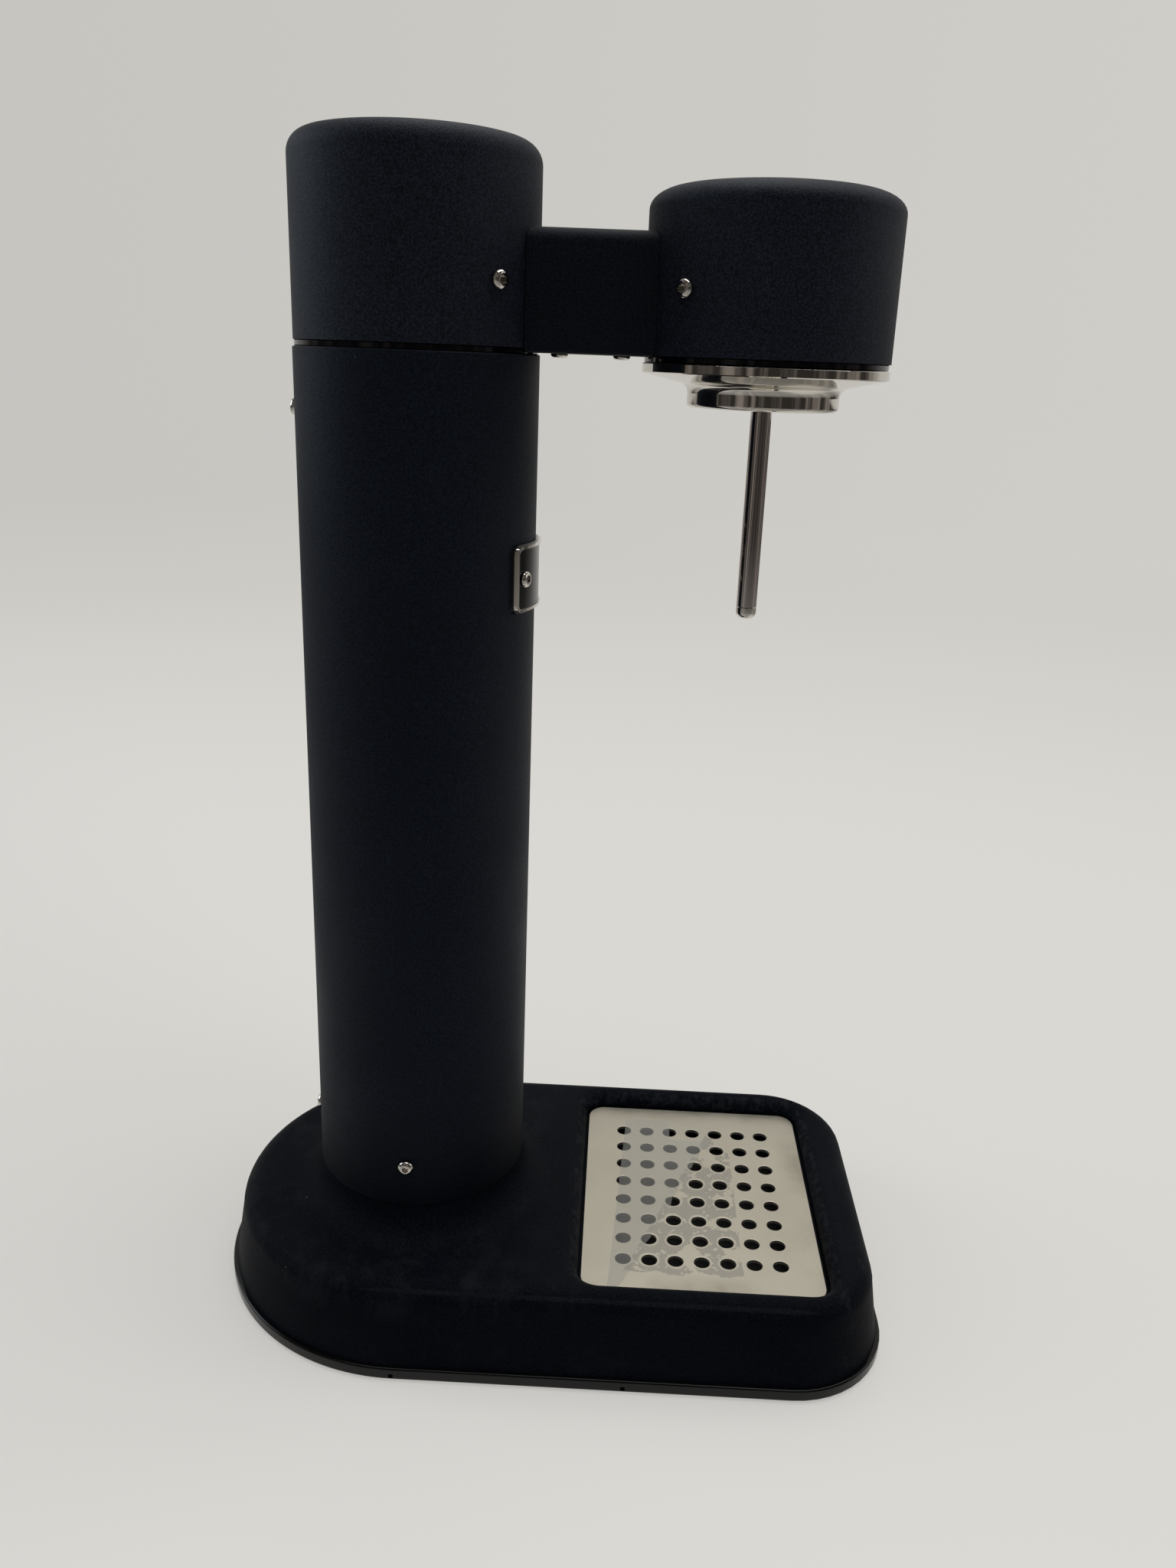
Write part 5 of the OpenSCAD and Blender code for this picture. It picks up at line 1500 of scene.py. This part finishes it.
class WATERMAKER_OT_film(bpy.types.Operator):
    """Models the torn film on the grille"""

    bl_idname = "watermaker.film"
    bl_label = "Film"

    def execute(self, context):
        make_film()
        return {"FINISHED"}


class WATERMAKER_OT_tower(bpy.types.Operator):
    """Models the tower tube and its seam ring"""

    bl_idname = "watermaker.tower"
    bl_label = "Tower"

    def execute(self, context):
        make_tower()
        return {"FINISHED"}


class WATERMAKER_OT_badge(bpy.types.Operator):
    """Models the bare badge on the tower"""

    bl_idname = "watermaker.badge"
    bl_label = "Badge"

    def execute(self, context):
        make_badge()
        return {"FINISHED"}


class WATERMAKER_OT_cap_and_head(bpy.types.Operator):
    """Models the tower's cap, the head and the ring under it"""

    bl_idname = "watermaker.cap_and_head"
    bl_label = "Cap and head"

    def execute(self, context):
        make_cap_and_head()
        return {"FINISHED"}


class WATERMAKER_OT_arm(bpy.types.Operator):
    """Models the arm cover between cap and head"""

    bl_idname = "watermaker.arm"
    bl_label = "Arm"

    def execute(self, context):
        make_arm()
        return {"FINISHED"}


class WATERMAKER_OT_collar(bpy.types.Operator):
    """Models the polished bottle collar with its lugs"""

    bl_idname = "watermaker.collar"
    bl_label = "Bottle collar"

    def execute(self, context):
        make_collar()
        return {"FINISHED"}


class WATERMAKER_OT_nozzle(bpy.types.Operator):
    """Models the nozzle tube and its tip"""

    bl_idname = "watermaker.nozzle"
    bl_label = "Nozzle"

    def execute(self, context):
        make_nozzle()
        return {"FINISHED"}


class WATERMAKER_OT_screws(bpy.types.Operator):
    """Models one screw of each size and copies it to its places"""

    bl_idname = "watermaker.screws"
    bl_label = "Screws"

    def execute(self, context):
        make_screws()
        return {"FINISHED"}


class WATERMAKER_OT_lever(bpy.types.Operator):
    """Models the side lever"""

    bl_idname = "watermaker.lever"
    bl_label = "Lever"

    def execute(self, context):
        make_lever()
        return {"FINISHED"}


class WATERMAKER_OT_springs(bpy.types.Operator):
    """Models the valve's coil springs"""

    bl_idname = "watermaker.springs"
    bl_label = "Springs"

    def execute(self, context):
        make_springs()
        return {"FINISHED"}


class WATERMAKER_OT_stage(bpy.types.Operator):
    """Sets up the floor, backdrop, lamps and camera"""

    bl_idname = "watermaker.stage"
    bl_label = "Stage"

    def execute(self, context):
        make_stage()
        return {"FINISHED"}


class WATERMAKER_PT_tools(bpy.types.Panel):
    """Lists the tools in the order of building, with their sizes and colours"""

    bl_idname = "WATERMAKER_PT_tools"
    bl_label = "Water maker"
    bl_space_type = "VIEW_3D"
    bl_region_type = "UI"
    bl_category = "Water maker"

    def draw(self, context):
        for tool in TOOLS:
            self.layout.operator(tool.bl_idname)
        for group in (getattr(context.scene, name) for name in GROUPS):
            box = self.layout.box()
            for name in group.bl_rna.properties.keys():
                if name not in ("rna_type", "name"):
                    box.prop(group, name)


TOOLS = (
    WATERMAKER_OT_finishes,
    WATERMAKER_OT_base_casting,
    WATERMAKER_OT_base_rim,
    WATERMAKER_OT_grille,
    WATERMAKER_OT_film,
    WATERMAKER_OT_tower,
    WATERMAKER_OT_badge,
    WATERMAKER_OT_cap_and_head,
    WATERMAKER_OT_arm,
    WATERMAKER_OT_collar,
    WATERMAKER_OT_nozzle,
    WATERMAKER_OT_screws,
    WATERMAKER_OT_lever,
    WATERMAKER_OT_springs,
    WATERMAKER_OT_stage,
)
GROUPS = {"machine_sizes": MachineSizes, "machine_colours": MachineColours, "machine_stage": MachineStage}


def register():
    """Adds the classes and the scene's values."""
    for name, group in GROUPS.items():
        bpy.utils.register_class(group)
        setattr(bpy.types.Scene, name, PointerProperty(type=group))
    for tool in (*TOOLS, WATERMAKER_PT_tools):
        bpy.utils.register_class(tool)


def unregister():
    """Removes the classes and the scene's values."""
    for tool in (WATERMAKER_PT_tools, *reversed(TOOLS)):
        bpy.utils.unregister_class(tool)
    for name, group in GROUPS.items():
        delattr(bpy.types.Scene, name)
        bpy.utils.unregister_class(group)


def main():
    """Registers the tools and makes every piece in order."""
    register()
    bpy.ops.watermaker.finishes()
    bpy.ops.watermaker.base_casting()
    bpy.ops.watermaker.base_rim()
    bpy.ops.watermaker.grille()
    bpy.ops.watermaker.film()
    bpy.ops.watermaker.tower()
    bpy.ops.watermaker.badge()
    bpy.ops.watermaker.cap_and_head()
    bpy.ops.watermaker.arm()
    bpy.ops.watermaker.collar()
    bpy.ops.watermaker.nozzle()
    bpy.ops.watermaker.screws()
    bpy.ops.watermaker.lever()
    bpy.ops.watermaker.springs()
    bpy.ops.watermaker.stage()


if __name__ == "__main__":
    main()
